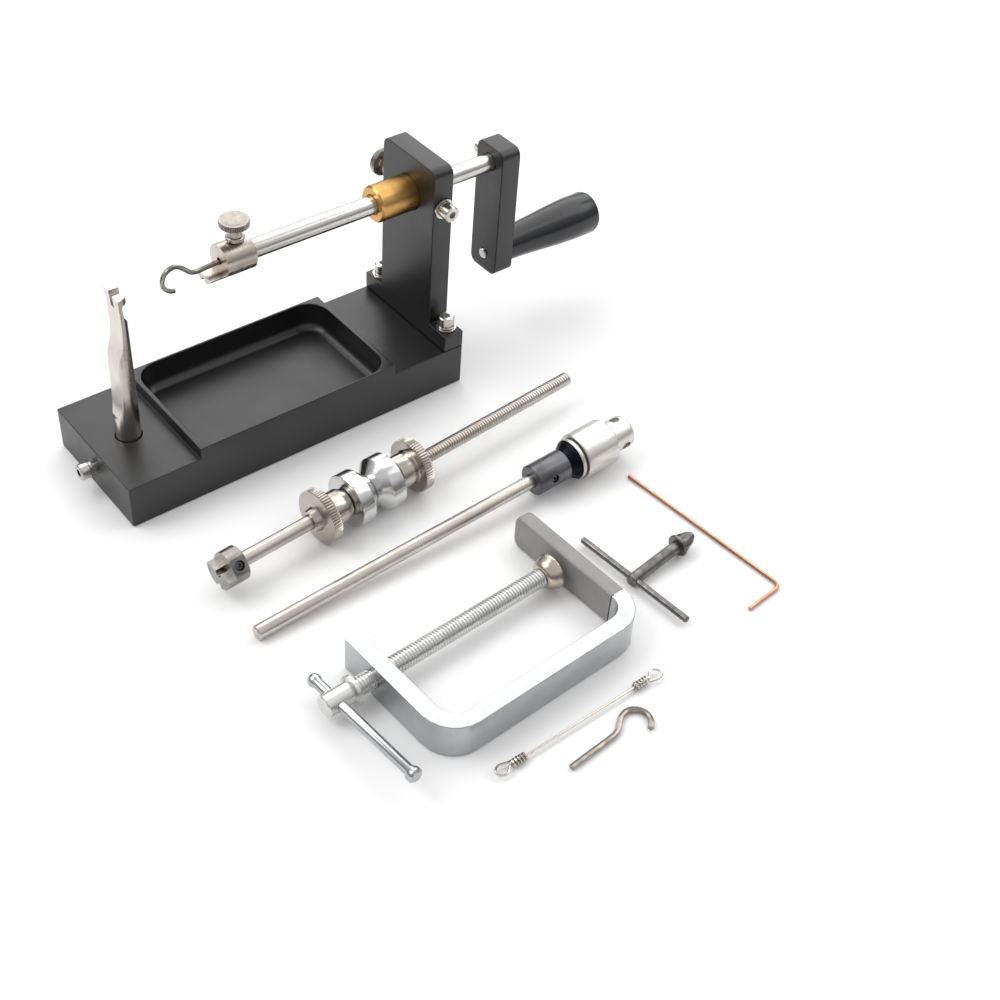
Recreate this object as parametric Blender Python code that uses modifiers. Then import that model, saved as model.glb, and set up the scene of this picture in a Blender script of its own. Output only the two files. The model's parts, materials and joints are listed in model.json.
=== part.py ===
"""A hand-cranked twisting station for wire, leaders and flies, with its loose tools.

Metres, +Z up. The origin is the centre of the base's underside, +X points to the crank
and -Y to the side the loose tools lie on.
"""

import math

import bmesh
import bpy
from mathutils import Matrix, Vector

# Gaps between pieces
FACE_GAP = 0.0003
SEAT_GAP = 0.0002
BORE_GAP = 0.0002
RUN_GAP = 0.00005

# How far a cutter runs past a face, the weld and the sides of round pieces
OVERCUT = 0.002
WELD = 0.000001
FLAT_ANGLE = 0.002
ROUND_SIDES = 28
SMALL_SIDES = 20
SOFT_EDGE = 0.0004

# Base: a bar with a raised tray between two lower pads
BASE_LENGTH = 0.165
BASE_WIDTH = 0.060
PAD_HEIGHT = 0.020
TRAY_RISE = 0.005
POST_PAD_LENGTH = 0.0325
UPRIGHT_PAD_LENGTH = 0.0365
POCKET_END_RIM = 0.0021
POCKET_SIDE_RIM = 0.0012
POCKET_CORNER_RADIUS = 0.010
POCKET_FLOOR = 0.012
POCKET_COVE = 0.004
EDGE_BREAK = 0.0004

# Upright that carries the spindle
SPINDLE_HEIGHT = 0.0863
UPRIGHT_THICKNESS = 0.010
UPRIGHT_WIDTH = 0.036
UPRIGHT_ABOVE_SPINDLE = 0.018
UPRIGHT_CORNER_RADIUS = 0.004
EAR_HEIGHT = 0.008

# Cap screws and their washers, size M4
SCREW_DIAMETER = 0.004
SCREW_HEAD_DIAMETER = 0.007
SCREW_HEAD_HEIGHT = 0.004
SCREW_SOCKET = 0.003
SCREW_SOCKET_DEPTH = 0.0022
WASHER_DIAMETER = 0.009
WASHER_THICKNESS = 0.0008
SPRING_WASHER_DIAMETER = 0.0072
SPRING_WASHER_THICKNESS = 0.0011
SPRING_WASHER_SPLIT = 0.0008
EAR_SCREW_DEPTH = 0.007
SCREW_TIP_ROOM = 0.001

# Spindle, its bush and the crank
SPINDLE_DIAMETER = 0.008
SPINDLE_REACH = 0.0779
BUSH_DIAMETER = 0.016
BUSH_REACH = 0.0183
CRANK_STANDOFF = 0.034
CRANK_THICKNESS = 0.010
CRANK_WIDTH = 0.018
CRANK_LENGTH = 0.0636
CRANK_ABOVE_SPINDLE = 0.0078
CRANK_CORNER_RADIUS = 0.004
CRANK_THROW = 0.0475
HANDLE_LENGTH = 0.053
HANDLE_ROOT_DIAMETER = 0.015
HANDLE_END_DIAMETER = 0.0202
HANDLE_BOLT_DIAMETER = 0.005
HANDLE_BOLT_REACH = 0.040
HANDLE_END_RADIUS = 0.0022
BOLT_PROUD = 0.0007

# Hook holder, hook and the knurled thumbscrews
HOLDER_DIAMETER = 0.014
HOLDER_LENGTH = 0.0136
HOLDER_TONGUE = 0.0075
HOLDER_TONGUE_DROP = 0.0036
HOLDER_SOCKET = 0.0032
HOLDER_SCREW_PLACE = 0.0059
NOTCH_WIDTH = 0.0016
NOTCH_DEPTH = 0.0018
HOOK_BORE = 0.0032
HOOK_WIRE = 0.002
HOOK_SAG = 0.00045
HOOK_BEND_RADIUS = 0.0054
HOOK_LEAD = 0.016
HOOK_DIP = 0.001
HOOK_REACH = 0.0199
THUMB_HEAD_DIAMETER = 0.0123
THUMB_HEAD_HEIGHT = 0.0028
THUMB_COLLAR_DIAMETER = 0.0076
THUMB_COLLAR_HEIGHT = 0.0018
THUMB_NECK_DIAMETER = 0.0056
THUMB_NECK_HEIGHT = 0.0048
THUMB_TEETH = 32
BRAKE_NECK_HEIGHT = 0.0036

# Line post
POST_FROM_END = 0.0165
POST_X = POST_FROM_END - BASE_LENGTH / 2
POST_DIAMETER = 0.0104
POST_TOP = 0.0902
POST_SOCKET_DEPTH = 0.0155
POST_SLOT_WIDTH = 0.0024
POST_SLOT_FLOOR = 0.0835
POST_LIP_LOW = 0.0858
POST_LIP_REACH = 0.0043
POST_HEAD_DIAMETER = 0.0112
POST_FRONT_DROP = 0.0013
POST_MOUTH = 0.0006
POST_SCREW_HEIGHT = 0.0103
POST_SCREW_STANDOFF = 0.0017

# Mandrel: rod, end collar, two knurled nuts and two cones
MANDREL_X = -0.0739
MANDREL_Y = -0.0811
MANDREL_TURN = 4.37
MANDREL_DIAMETER = 0.006
MANDREL_LENGTH = 0.1869
NUT_DIAMETER = 0.0238
NUT_RIM = 0.0044
NUT_HUB_DIAMETER = 0.0146
NUT_HUB = 0.0102
NUT_BACK_HUB = 0.0035
NUT_TEETH = 42
KNURL_DEPTH = 0.00025
CONE_DIAMETER = 0.0232
CONE_BAND = 0.0064
CONE_NOSE_DIAMETER = 0.0130
CONE_LENGTH = 0.0112
CONES_AT = 0.0618
COLLAR_DIAMETER = 0.0145
COLLAR_LENGTH = 0.0067
COLLAR_TONGUE = 0.0034
COLLAR_SOCKET = 0.0056
COLLAR_SCREW_ANGLE = 38
COLLAR_FLAT = 0.0009
SET_SCREW_DIAMETER = 0.0038
SET_SCREW_SUNK = 0.0008
SET_SCREW_SOCKET = 0.0012

# Chuck on its own shaft
CHUCK_X = -0.0745
CHUCK_Y = -0.1080
CHUCK_TURN = 0.3
CHUCK_ROD_DIAMETER = 0.006
CHUCK_ROD_LENGTH = 0.138
COUPLING_DIAMETER = 0.0134
COUPLING_LENGTH = 0.0169
COUPLING_GRIP = 0.004
COUPLING_WEB = 0.0012
COUPLING_SCREW_PLACE = 0.0078
COUPLING_SCREW_ANGLE = 14
COUPLING_SCREW_DIAMETER = 0.0030
CHUCK_SHANK_DIAMETER = 0.008
CHUCK_SLEEVE_DIAMETER = 0.0203
CHUCK_SLEEVE_LENGTH = 0.0176
SLEEVE_EDGE = 0.0008
SLEEVE_FRONT = 0.0011
CHUCK_NOSE_DIAMETER = 0.0143
CHUCK_NOSE_LENGTH = 0.0112
CHUCK_NOSE_STEP = 0.0006
CHUCK_TEETH = 18
CHUCK_TOOTH_HEIGHT = 0.0018
CHUCK_TOOTH_LENGTH = 0.0013
CHUCK_TOOTH_GAP = 0.36
CHUCK_KEY_HOLE = 0.0042
CHUCK_KEY_HOLE_PLACE = 0.0062
CHUCK_KEY_HOLE_ANGLE = 103
CHUCK_KEY_HOLE_DEPTH = 0.0024
CHUCK_BACK = 0.0066
CHUCK_BORE = 0.0076
CHUCK_BORE_DEPTH = 0.0225
JAW_LENGTH = 0.0150
JAW_SUNK = 0.0006
JAW_SPLIT = 4
JAW_POINT = 0.0005

# Bench clamp
CLAMP_X = -0.0550
CLAMP_Y = -0.1542
CLAMP_TURN = 2.3
CLAMP_WIDTH = 0.016
CLAMP_JAW_THICKNESS = 0.0069
CLAMP_SPINE_THICKNESS = 0.0069
CLAMP_OPENING = 0.0854
CLAMP_SCREW_JAW_REACH = 0.0159
CLAMP_FIXED_JAW_REACH = 0.0264
CLAMP_THROAT = 0.0368
CLAMP_OUTER_RADIUS = 0.0145
CLAMP_CORNER_RADIUS = 0.004
CLAMP_CAP_WALL = 0.0009
CLAMP_CAP_LENGTH = 0.055
CLAMP_CAP_EDGE = 0.0014
CLAMP_EDGE = 0.0006
CLAMP_SCREW_DIAMETER = 0.0078
CLAMP_PAD_DIAMETER = 0.0150
CLAMP_PAD_LENGTH = 0.0055
CLAMP_PAD_NOSE = 0.0086
CLAMP_PAD_RIM = 0.0009
CLAMP_HEAD_DIAMETER = 0.0088
CLAMP_HEAD_LENGTH = 0.0131
CLAMP_BAR_PLACE = 0.0052
CLAMP_FLANGE_DIAMETER = 0.0122
CLAMP_SCREW_SHOWN = 0.0078
CLAMP_LEFT_OPEN = 0.0036
CLAMP_PIN_DIAMETER = 0.0036
CLAMP_PIN_LENGTH = 0.0026
TOMMY_DIAMETER = 0.0042
TOMMY_BALL_DIAMETER = 0.0056
TOMMY_LENGTH = 0.0614
TOMMY_FAR_END = 0.0126
TOMMY_LIFT = 4.5
TOMMY_FLARE_DIAMETER = 0.0060
TOMMY_FLARE_LENGTH = 0.0042

# Chuck key
KEY_X = 0.0613
KEY_Y = -0.1694
KEY_TURN = 4.6
KEY_BAR_DIAMETER = 0.0028
KEY_BAR_LENGTH = 0.057
KEY_BODY_DIAMETER = 0.0052
KEY_BODY_LENGTH = 0.0270
KEY_FLANGE_DIAMETER = 0.0096
KEY_FLANGE_THICKNESS = 0.0016
KEY_PINION_DIAMETER = 0.0084
KEY_PINION_LENGTH = 0.0060
KEY_TEETH = 9
KEY_OVERHANG = 0.0019
KEY_PILOT_DIAMETER = 0.0034
KEY_PILOT_LENGTH = 0.0018

# Hex key, wire sample and spare hook
HEX_KEY_WIDTH = 0.0015
HEX_KEY_X = 0.1086
HEX_KEY_Y = -0.2050
HEX_KEY_LONG = 0.0831
HEX_KEY_SHORT = 0.0193
HEX_KEY_TURN = 4.6
HEX_KEY_BEND = 0.0032
SAMPLE_WIRE = 0.0009
SAMPLE_X = -0.0410
SAMPLE_Y = -0.2102
SAMPLE_LENGTH = 0.0790
SAMPLE_TURN = 0.3
SAMPLE_WRAPS = 5
SAMPLE_WRAP_PITCH = 0.00135
SAMPLE_WRAP_GAP = 0.00045
SAMPLE_LOOP_LENGTH = 0.0062
SAMPLE_LOOP_WIDTH = 0.0046
SPARE_WIRE = 0.0023
SPARE_X = -0.0176
SPARE_Y = -0.2232
SPARE_TURN = 4.0
SPARE_SHANK = 0.0215
SPARE_BEND = 0.0166

MATERIALS = {
    "anodised": ((0.035, 0.036, 0.040), 0.9, 0.42),
    "handle_black": ((0.020, 0.022, 0.026), 0.0, 0.35),
    "brass": ((0.72, 0.50, 0.20), 1.0, 0.28),
    "steel": ((0.62, 0.60, 0.58), 1.0, 0.25),
    "nickel": ((0.66, 0.61, 0.55), 1.0, 0.30),
    "chrome": ((0.82, 0.83, 0.85), 1.0, 0.08),
    "zinc": ((0.78, 0.80, 0.84), 1.0, 0.25),
    "black_oxide": ((0.045, 0.045, 0.048), 0.9, 0.38),
    "copper": ((0.55, 0.30, 0.22), 1.0, 0.35),
    "cap": ((0.36, 0.35, 0.34), 0.0, 0.45),
}


def clear_scene():
    for obj in list(bpy.data.objects):
        bpy.data.objects.remove(obj, do_unlink=True)
    for old in list(bpy.data.collections):
        bpy.data.collections.remove(old)


def make_material(name):
    colour, metallic, roughness = MATERIALS[name]
    material = bpy.data.materials.new(name)
    material.use_nodes = True
    shader = material.node_tree.nodes["Principled BSDF"]
    shader.inputs["Base Color"].default_value = (*colour, 1.0)
    shader.inputs["Metallic"].default_value = metallic
    shader.inputs["Roughness"].default_value = roughness
    return material


clear_scene()
STATION = bpy.data.collections.new("fly_tying_station")
CUTTERS = bpy.data.collections.new("cutters")
bpy.context.scene.collection.children.link(STATION)
bpy.context.scene.collection.children.link(CUTTERS)
CUTTERS.hide_render = True
PAINT = {name: make_material(name) for name in MATERIALS}


def empty(name, location, turn=0.0, tilt=0.0):
    """A parent that stands a loose tool where it lies: turn about Z, then tilt about its own Y."""
    obj = bpy.data.objects.new(name, None)
    obj.empty_display_size = 0.01
    STATION.objects.link(obj)
    obj.location = location
    obj.rotation_euler = (0.0, math.radians(tilt), math.radians(turn))
    return obj


def place(obj, location=(0, 0, 0), axis="Z", spin=0.0, parent=None):
    """Puts the object's local Z along axis, after spinning it about that axis."""
    turns = {
        "Z": Matrix.Identity(3),
        "-Z": Matrix.Rotation(math.pi, 3, "X"),
        "X": Matrix.Rotation(math.pi / 2, 3, "Y"),
        "-X": Matrix.Rotation(-math.pi / 2, 3, "Y"),
        "Y": Matrix.Rotation(-math.pi / 2, 3, "X"),
        "-Y": Matrix.Rotation(math.pi / 2, 3, "X"),
    }
    turned_by = turns[axis] @ Matrix.Rotation(math.radians(spin), 3, "Z")
    obj.location = location
    obj.rotation_euler = turned_by.to_euler()
    obj.parent = parent
    return obj


def add(name, mesh, paint):
    obj = bpy.data.objects.new(name, mesh)
    if paint is None:
        CUTTERS.objects.link(obj)
        obj.hide_render = True
        obj.display_type = "WIRE"
    else:
        STATION.objects.link(obj)
        mesh.materials.append(PAINT[paint])
    return obj


def turned(name, profile, paint, segments=ROUND_SIDES):
    """A turned piece about local Z. The profile holds (radius, height) and runs down its outer side.

    A profile that starts and ends on the axis is solid; any other is a closed loop, so a ring.
    """
    mesh = bpy.data.meshes.new(name)
    count = len(profile)
    solid = profile[0][0] == 0 and profile[-1][0] == 0
    edges = [(i, i + 1) for i in range(count - 1)]
    if not solid:
        edges.append((count - 1, 0))
    mesh.from_pydata([(r, 0.0, z) for r, z in profile], edges, [])
    obj = add(name, mesh, paint)
    screw = obj.modifiers.new("Turn", "SCREW")
    screw.axis = "Z"
    screw.angle = math.tau
    screw.steps = segments
    screw.render_steps = segments
    screw.use_merge_vertices = True
    screw.merge_threshold = 2 * WELD
    screw.use_smooth_shade = True
    return obj


def rod_profile(radius, length, chamfer=0.0):
    """A plain rod from local Z 0 up to its length."""
    if chamfer <= 0:
        return [(0, length), (radius, length), (radius, 0), (0, 0)]
    return [
        (0, length),
        (radius - chamfer, length),
        (radius, length - chamfer),
        (radius, chamfer),
        (radius - chamfer, 0),
        (0, 0),
    ]


def prism(name, outline, low, high, paint):
    """A straight piece along local Z from a closed outline of (x, y)."""
    curve = bpy.data.curves.new(name, "CURVE")
    curve.dimensions = "2D"
    curve.fill_mode = "BOTH"
    curve.extrude = (high - low) / 2
    spline = curve.splines.new("POLY")
    spline.points.add(len(outline) - 1)
    for point, (x, y) in zip(spline.points, outline):
        point.co = (x, y, 0.0, 1.0)
    spline.use_cyclic_u = True
    guide = bpy.data.objects.new(name + "_outline", curve)
    CUTTERS.objects.link(guide)
    graph = bpy.context.evaluated_depsgraph_get()
    mesh = bpy.data.meshes.new_from_object(guide.evaluated_get(graph))
    bpy.data.objects.remove(guide, do_unlink=True)
    bpy.data.curves.remove(curve)
    shape = bmesh.new()
    shape.from_mesh(mesh)
    bmesh.ops.remove_doubles(shape, verts=shape.verts, dist=WELD)
    bmesh.ops.dissolve_limit(
        shape, angle_limit=FLAT_ANGLE, verts=shape.verts, edges=shape.edges
    )
    bmesh.ops.translate(shape, vec=(0, 0, (low + high) / 2), verts=shape.verts)
    bmesh.ops.recalc_face_normals(shape, faces=shape.faces)
    shape.to_mesh(mesh)
    shape.free()
    return add(name, mesh, paint)


def box(name, low, high, paint):
    mesh = bpy.data.meshes.new(name)
    shape = bmesh.new()
    bmesh.ops.create_cube(shape, size=1.0)
    bmesh.ops.scale(shape, vec=[b - a for a, b in zip(low, high)], verts=shape.verts)
    bmesh.ops.translate(
        shape, vec=[(a + b) / 2 for a, b in zip(low, high)], verts=shape.verts
    )
    shape.to_mesh(mesh)
    shape.free()
    return add(name, mesh, paint)


def stacked(name, rings, paint):
    """A lofted piece: each ring has the same number of points, and both ends are closed."""
    mesh = bpy.data.meshes.new(name)
    shape = bmesh.new()
    made = [[shape.verts.new(point) for point in ring] for ring in rings]
    shape.faces.new(made[0])
    shape.faces.new(made[-1])
    for lower, upper in zip(made, made[1:]):
        for i in range(len(lower)):
            j = (i + 1) % len(lower)
            shape.faces.new([lower[i], lower[j], upper[j], upper[i]])
    bmesh.ops.recalc_face_normals(shape, faces=shape.faces)
    shape.to_mesh(mesh)
    shape.free()
    return add(name, mesh, paint)


def rounded_rectangle(x0, x1, y0, y1, radius, steps=5):
    points = []
    corners = ((x1, y1, 0), (x0, y1, 90), (x0, y0, 180), (x1, y0, 270))
    for cx, cy, start in corners:
        ox = cx - radius if cx == x1 else cx + radius
        oy = cy - radius if cy == y1 else cy + radius
        for i in range(steps + 1):
            angle = math.radians(start + 90 * i / steps)
            points.append((ox + radius * math.cos(angle), oy + radius * math.sin(angle)))
    return points


def boolean(obj, other, operation="DIFFERENCE"):
    modifier = obj.modifiers.new(operation.title() + " " + other.name, "BOOLEAN")
    modifier.operation = operation
    modifier.solver = "EXACT"
    modifier.object = other


def edge_break(obj, width, segments=1, angle=40):
    bevel = obj.modifiers.new("Edge break", "BEVEL")
    bevel.width = width
    bevel.segments = segments
    bevel.limit_method = "ANGLE"
    bevel.angle_limit = math.radians(angle)


def bore(obj, name, diameter, low, high, location, axis, parent=None, sides=SMALL_SIDES):
    """Cuts a round hole that runs from low to high along the axis."""
    profile = [(0, high), (diameter / 2, high), (diameter / 2, low), (0, low)]
    cutter = turned(name, profile, None, sides)
    place(cutter, location, axis, parent=parent)
    boolean(obj, cutter)
    return cutter


def hexagon(width):
    """The corners of a hexagon that is this wide across its flats."""
    corner = width / math.sqrt(3)
    turns = [math.radians(60 * i) for i in range(6)]
    return [(corner * math.cos(turn), corner * math.sin(turn)) for turn in turns]


def cap_screw(name, location, axis, depth):
    """A socket cap screw: head above local Z 0, shank below it to the depth."""
    head = SCREW_HEAD_DIAMETER / 2
    top = SCREW_HEAD_HEIGHT
    profile = [
        (0, top),
        (head - SOFT_EDGE, top),
        (head, top - SOFT_EDGE),
        (head, 0),
        (SCREW_DIAMETER / 2, 0),
        (SCREW_DIAMETER / 2, -depth),
        (0, -depth),
    ]
    screw = turned(name, profile, "steel", SMALL_SIDES)
    socket = hexagon(SCREW_SOCKET)
    cutter = prism(name + "_socket", socket, top - SCREW_SOCKET_DEPTH, top + OVERCUT, None)
    place(screw, location, axis)
    place(cutter, location, axis)
    boolean(screw, cutter)
    return screw


def washer(name, location, axis):
    """A flat ring from local Z 0 up."""
    return ring(name, location, axis, WASHER_DIAMETER, WASHER_THICKNESS)


def ring(name, location, axis, diameter, thickness):
    inner = SCREW_DIAMETER / 2 + BORE_GAP
    outer = diameter / 2
    profile = [(inner, thickness), (outer, thickness), (outer, 0), (inner, 0)]
    return place(turned(name, profile, "steel", SMALL_SIDES), location, axis)


def spring_washer(name, location, axis):
    """A ring from local Z 0 up with a narrow split in it."""
    thickness = SPRING_WASHER_THICKNESS
    split = SPRING_WASHER_SPLIT / 2
    body = ring(name, location, axis, SPRING_WASHER_DIAMETER, thickness)
    cutter = box(
        name + "_split",
        (SCREW_DIAMETER / 4, -split, -OVERCUT),
        (SPRING_WASHER_DIAMETER, split, thickness + OVERCUT),
        None,
    )
    place(cutter, location, axis, spin=-50)
    boolean(body, cutter)
    return body


def knurled_rim(name, radius, low, high, teeth, paint):
    """A straight-knurled disc: one point on each crest and one in each groove."""
    outline = [
        (r * math.cos(math.tau * (i + share) / teeth), r * math.sin(math.tau * (i + share) / teeth))
        for i in range(teeth)
        for share, r in ((0.0, radius), (0.5, radius - KNURL_DEPTH))
    ]
    return prism(name, outline, low, high, paint)


def smooth_curve(points, steps):
    """Points on a smooth curve through the given ones."""
    out = []
    last = len(points) - 1
    for i in range(last):
        p0 = points[max(i - 1, 0)]
        p1 = points[i]
        p2 = points[i + 1]
        p3 = points[min(i + 2, last)]
        for k in range(steps):
            t = k / steps
            weights = (
                -0.5 * t + t * t - 0.5 * t ** 3,
                1 - 2.5 * t * t + 1.5 * t ** 3,
                0.5 * t + 2 * t * t - 1.5 * t ** 3,
                -0.5 * t * t + 0.5 * t ** 3,
            )
            out.append(tuple(
                sum(weight * value for weight, value in zip(weights, values))
                for values in zip(p0, p1, p2, p3)
            ))
    out.append(tuple(points[-1]))
    return out


def wire(name, points, diameter, paint, resolution=2):
    curve = bpy.data.curves.new(name, "CURVE")
    curve.dimensions = "3D"
    curve.bevel_depth = diameter / 2
    curve.bevel_resolution = resolution
    curve.use_fill_caps = True
    spline = curve.splines.new("POLY")
    spline.points.add(len(points) - 1)
    for point, place_at in zip(spline.points, points):
        point.co = (*place_at, 1.0)
    curve.materials.append(PAINT[paint])
    obj = bpy.data.objects.new(name, curve)
    STATION.objects.link(obj)
    return obj


# Base
half_length = BASE_LENGTH / 2
half_width = BASE_WIDTH / 2
tray_top = PAD_HEIGHT + TRAY_RISE
tray_left = -half_length + POST_PAD_LENGTH
tray_right = half_length - UPRIGHT_PAD_LENGTH
base = prism(
    "base",
    [
        (-half_length, 0),
        (half_length, 0),
        (half_length, PAD_HEIGHT),
        (tray_right, PAD_HEIGHT),
        (tray_right, tray_top),
        (tray_left, tray_top),
        (tray_left, PAD_HEIGHT),
        (-half_length, PAD_HEIGHT),
    ],
    -half_width,
    half_width,
    "anodised",
)
base.rotation_euler = (math.pi / 2, 0, 0)
edge_break(base, EDGE_BREAK)

pocket_rings = []
pocket_levels = [(tray_top + EDGE_BREAK, 2 * EDGE_BREAK), (tray_top - EDGE_BREAK, 0.0)]
for step in range(4):
    sweep = math.radians(90 * step / 3)
    pocket_levels.append(
        (POCKET_FLOOR + POCKET_COVE * (1 - math.sin(sweep)), -POCKET_COVE * (1 - math.cos(sweep)))
    )
for level, grow in pocket_levels:
    outline = rounded_rectangle(
        tray_left + POCKET_END_RIM - grow,
        tray_right - POCKET_END_RIM + grow,
        -half_width + POCKET_SIDE_RIM - grow,
        half_width - POCKET_SIDE_RIM + grow,
        POCKET_CORNER_RADIUS + grow,
    )
    pocket_rings.append([(x, y, level) for x, y in outline])
pocket = stacked("pocket_cutter", pocket_rings, None)
boolean(base, pocket)

post_hole_radius = POST_DIAMETER / 2 + BORE_GAP / 2
post_hole = turned(
    "post_hole_cutter",
    [
        (0, PAD_HEIGHT + POST_MOUTH),
        (post_hole_radius + 2 * POST_MOUTH, PAD_HEIGHT + POST_MOUTH),
        (post_hole_radius, PAD_HEIGHT - POST_MOUTH),
        (post_hole_radius, PAD_HEIGHT - POST_SOCKET_DEPTH),
        (0, PAD_HEIGHT - POST_SOCKET_DEPTH),
    ],
    None,
)
place(post_hole, (POST_X, 0, 0))
boolean(base, post_hole)
post_screw_hole = half_length + POST_X
bore(
    base, "post_screw_hole_cutter", SCREW_DIAMETER + 2 * BORE_GAP, -post_screw_hole, OVERCUT,
    (-half_length, 0, POST_SCREW_HEIGHT), "-X",
)

# Upright: a plate with two low ears that the base screws hold
upright_left = half_length - UPRIGHT_THICKNESS
upright_middle = half_length - UPRIGHT_THICKNESS / 2
upright_low = PAD_HEIGHT + SEAT_GAP
ear_top = PAD_HEIGHT + EAR_HEIGHT
upright_top = SPINDLE_HEIGHT + UPRIGHT_ABOVE_SPINDLE
half_upright = UPRIGHT_WIDTH / 2
outline = [
    (-half_width, upright_low),
    (half_width, upright_low),
    (half_width, ear_top),
    (half_upright, ear_top),
]
for start in (0, 90):
    across = (half_upright - UPRIGHT_CORNER_RADIUS) * (1 if start == 0 else -1)
    for step in range(6):
        angle = math.radians(start + 90 * step / 5)
        outline.append((
            across + UPRIGHT_CORNER_RADIUS * math.cos(angle),
            upright_top - UPRIGHT_CORNER_RADIUS * (1 - math.sin(angle)),
        ))
outline += [(-half_upright, ear_top), (-half_width, ear_top)]
upright = prism("upright", outline, 0, UPRIGHT_THICKNESS, "anodised")
upright.rotation_euler = Matrix(((0, 0, 1), (1, 0, 0), (0, 1, 0))).to_euler()
upright.location = (upright_left, 0, 0)
edge_break(upright, EDGE_BREAK, angle=50)
bore(
    upright, "bush_seat_cutter", BUSH_DIAMETER + 2 * BORE_GAP, -OVERCUT,
    UPRIGHT_THICKNESS + OVERCUT, (upright_left, 0, SPINDLE_HEIGHT), "X", sides=ROUND_SIDES,
)

# Base screws with a flat and a spring washer each
ear_y = (half_upright + half_width) / 2
screw_hole = SCREW_DIAMETER + 2 * BORE_GAP
for side, sign in (("front", -1), ("back", 1)):
    at = (upright_middle, sign * ear_y, ear_top)
    bore(upright, f"ear_hole_{side}_cutter", screw_hole, -EAR_HEIGHT - OVERCUT, OVERCUT, at, "Z")
    hole_floor = -EAR_HEIGHT - EAR_SCREW_DEPTH - SCREW_TIP_ROOM
    bore(base, f"base_hole_{side}_cutter", screw_hole, hole_floor, OVERCUT - EAR_HEIGHT, at, "Z")
    level = ear_top + SEAT_GAP
    washer(f"ear_washer_{side}", (at[0], at[1], level), "Z")
    level += WASHER_THICKNESS + SEAT_GAP
    spring_washer(f"ear_spring_washer_{side}", (at[0], at[1], level), "Z")
    level += SPRING_WASHER_THICKNESS + SEAT_GAP
    under_head = level - ear_top + EAR_HEIGHT + EAR_SCREW_DEPTH
    cap_screw(f"ear_screw_{side}", (at[0], at[1], level), "Z", under_head)

# Bush and the screw that holds it
bush_length = BUSH_REACH + UPRIGHT_THICKNESS
bush_inner = SPINDLE_DIAMETER / 2 + RUN_GAP
bush = turned(
    "bush",
    [
        (bush_inner, bush_length),
        (BUSH_DIAMETER / 2, bush_length),
        (BUSH_DIAMETER / 2, 0.0008),
        (BUSH_DIAMETER / 2 - 0.0008, 0),
        (bush_inner + 0.0006, 0),
        (bush_inner, 0.0006),
    ],
    "brass",
    32,
)
place(bush, (upright_left - BUSH_REACH, 0, SPINDLE_HEIGHT), "X")

bore(
    upright, "bush_screw_hole_cutter", screw_hole, -half_upright, OVERCUT,
    (upright_middle, -half_upright, SPINDLE_HEIGHT), "-Y",
)
level = half_upright + SEAT_GAP
washer("bush_screw_washer", (upright_middle, -level, SPINDLE_HEIGHT), "-Y")
level += WASHER_THICKNESS + SEAT_GAP
spring_washer("bush_screw_spring_washer", (upright_middle, -level, SPINDLE_HEIGHT), "-Y")
level += SPRING_WASHER_THICKNESS + SEAT_GAP
under_head = level - BUSH_DIAMETER / 2 - SEAT_GAP
cap_screw("bush_screw", (upright_middle, -level, SPINDLE_HEIGHT), "-Y", under_head)


def thumbscrew(name, location, axis, neck, shank):
    """Head on top, then a neck, a collar that bears on the seat at local Z 0, and the shank below."""
    collar = THUMB_COLLAR_DIAMETER / 2
    head_low = THUMB_COLLAR_HEIGHT + neck
    body = turned(
        name + "_neck",
        [
            (0, head_low + THUMB_HEAD_HEIGHT / 2),
            (THUMB_NECK_DIAMETER / 2, head_low + THUMB_HEAD_HEIGHT / 2),
            (THUMB_NECK_DIAMETER / 2, THUMB_COLLAR_HEIGHT + 0.0003),
            (collar - 0.0003, THUMB_COLLAR_HEIGHT + 0.0003),
            (collar, THUMB_COLLAR_HEIGHT),
            (collar, 0.0006),
            (collar - 0.0010, 0),
            (SCREW_DIAMETER / 2, 0),
            (SCREW_DIAMETER / 2, -shank),
            (0, -shank),
        ],
        None,
        SMALL_SIDES,
    )
    place(body, location, axis)
    head_top = head_low + THUMB_HEAD_HEIGHT
    head = knurled_rim(name, THUMB_HEAD_DIAMETER / 2, head_low, head_top, THUMB_TEETH, "nickel")
    place(head, location, axis)
    boolean(head, body, "UNION")
    return head


# Brake thumbscrew at the back of the upright; it reaches the spindle through the bush
bore(
    upright, "brake_hole_cutter", screw_hole, -half_upright, OVERCUT,
    (upright_middle, half_upright, SPINDLE_HEIGHT), "Y",
)
bore(
    bush, "brake_window_cutter", screw_hole, -half_upright, OVERCUT,
    (upright_middle, half_upright, SPINDLE_HEIGHT), "Y",
)
thumbscrew(
    "brake_thumbscrew", (upright_middle, half_upright + SEAT_GAP, SPINDLE_HEIGHT), "Y",
    BRAKE_NECK_HEIGHT, half_upright + SEAT_GAP - SPINDLE_DIAMETER / 2 - BORE_GAP,
)

# Spindle
crank_left = half_length + CRANK_STANDOFF
holder_right = upright_left - SPINDLE_REACH
spindle_left = holder_right - HOLDER_SOCKET + BORE_GAP
spindle_right = crank_left + CRANK_THICKNESS - SEAT_GAP
spindle = turned(
    "spindle", rod_profile(SPINDLE_DIAMETER / 2, spindle_right - spindle_left, SOFT_EDGE), "steel"
)
place(spindle, (spindle_left, 0, SPINDLE_HEIGHT), "X")


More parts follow.
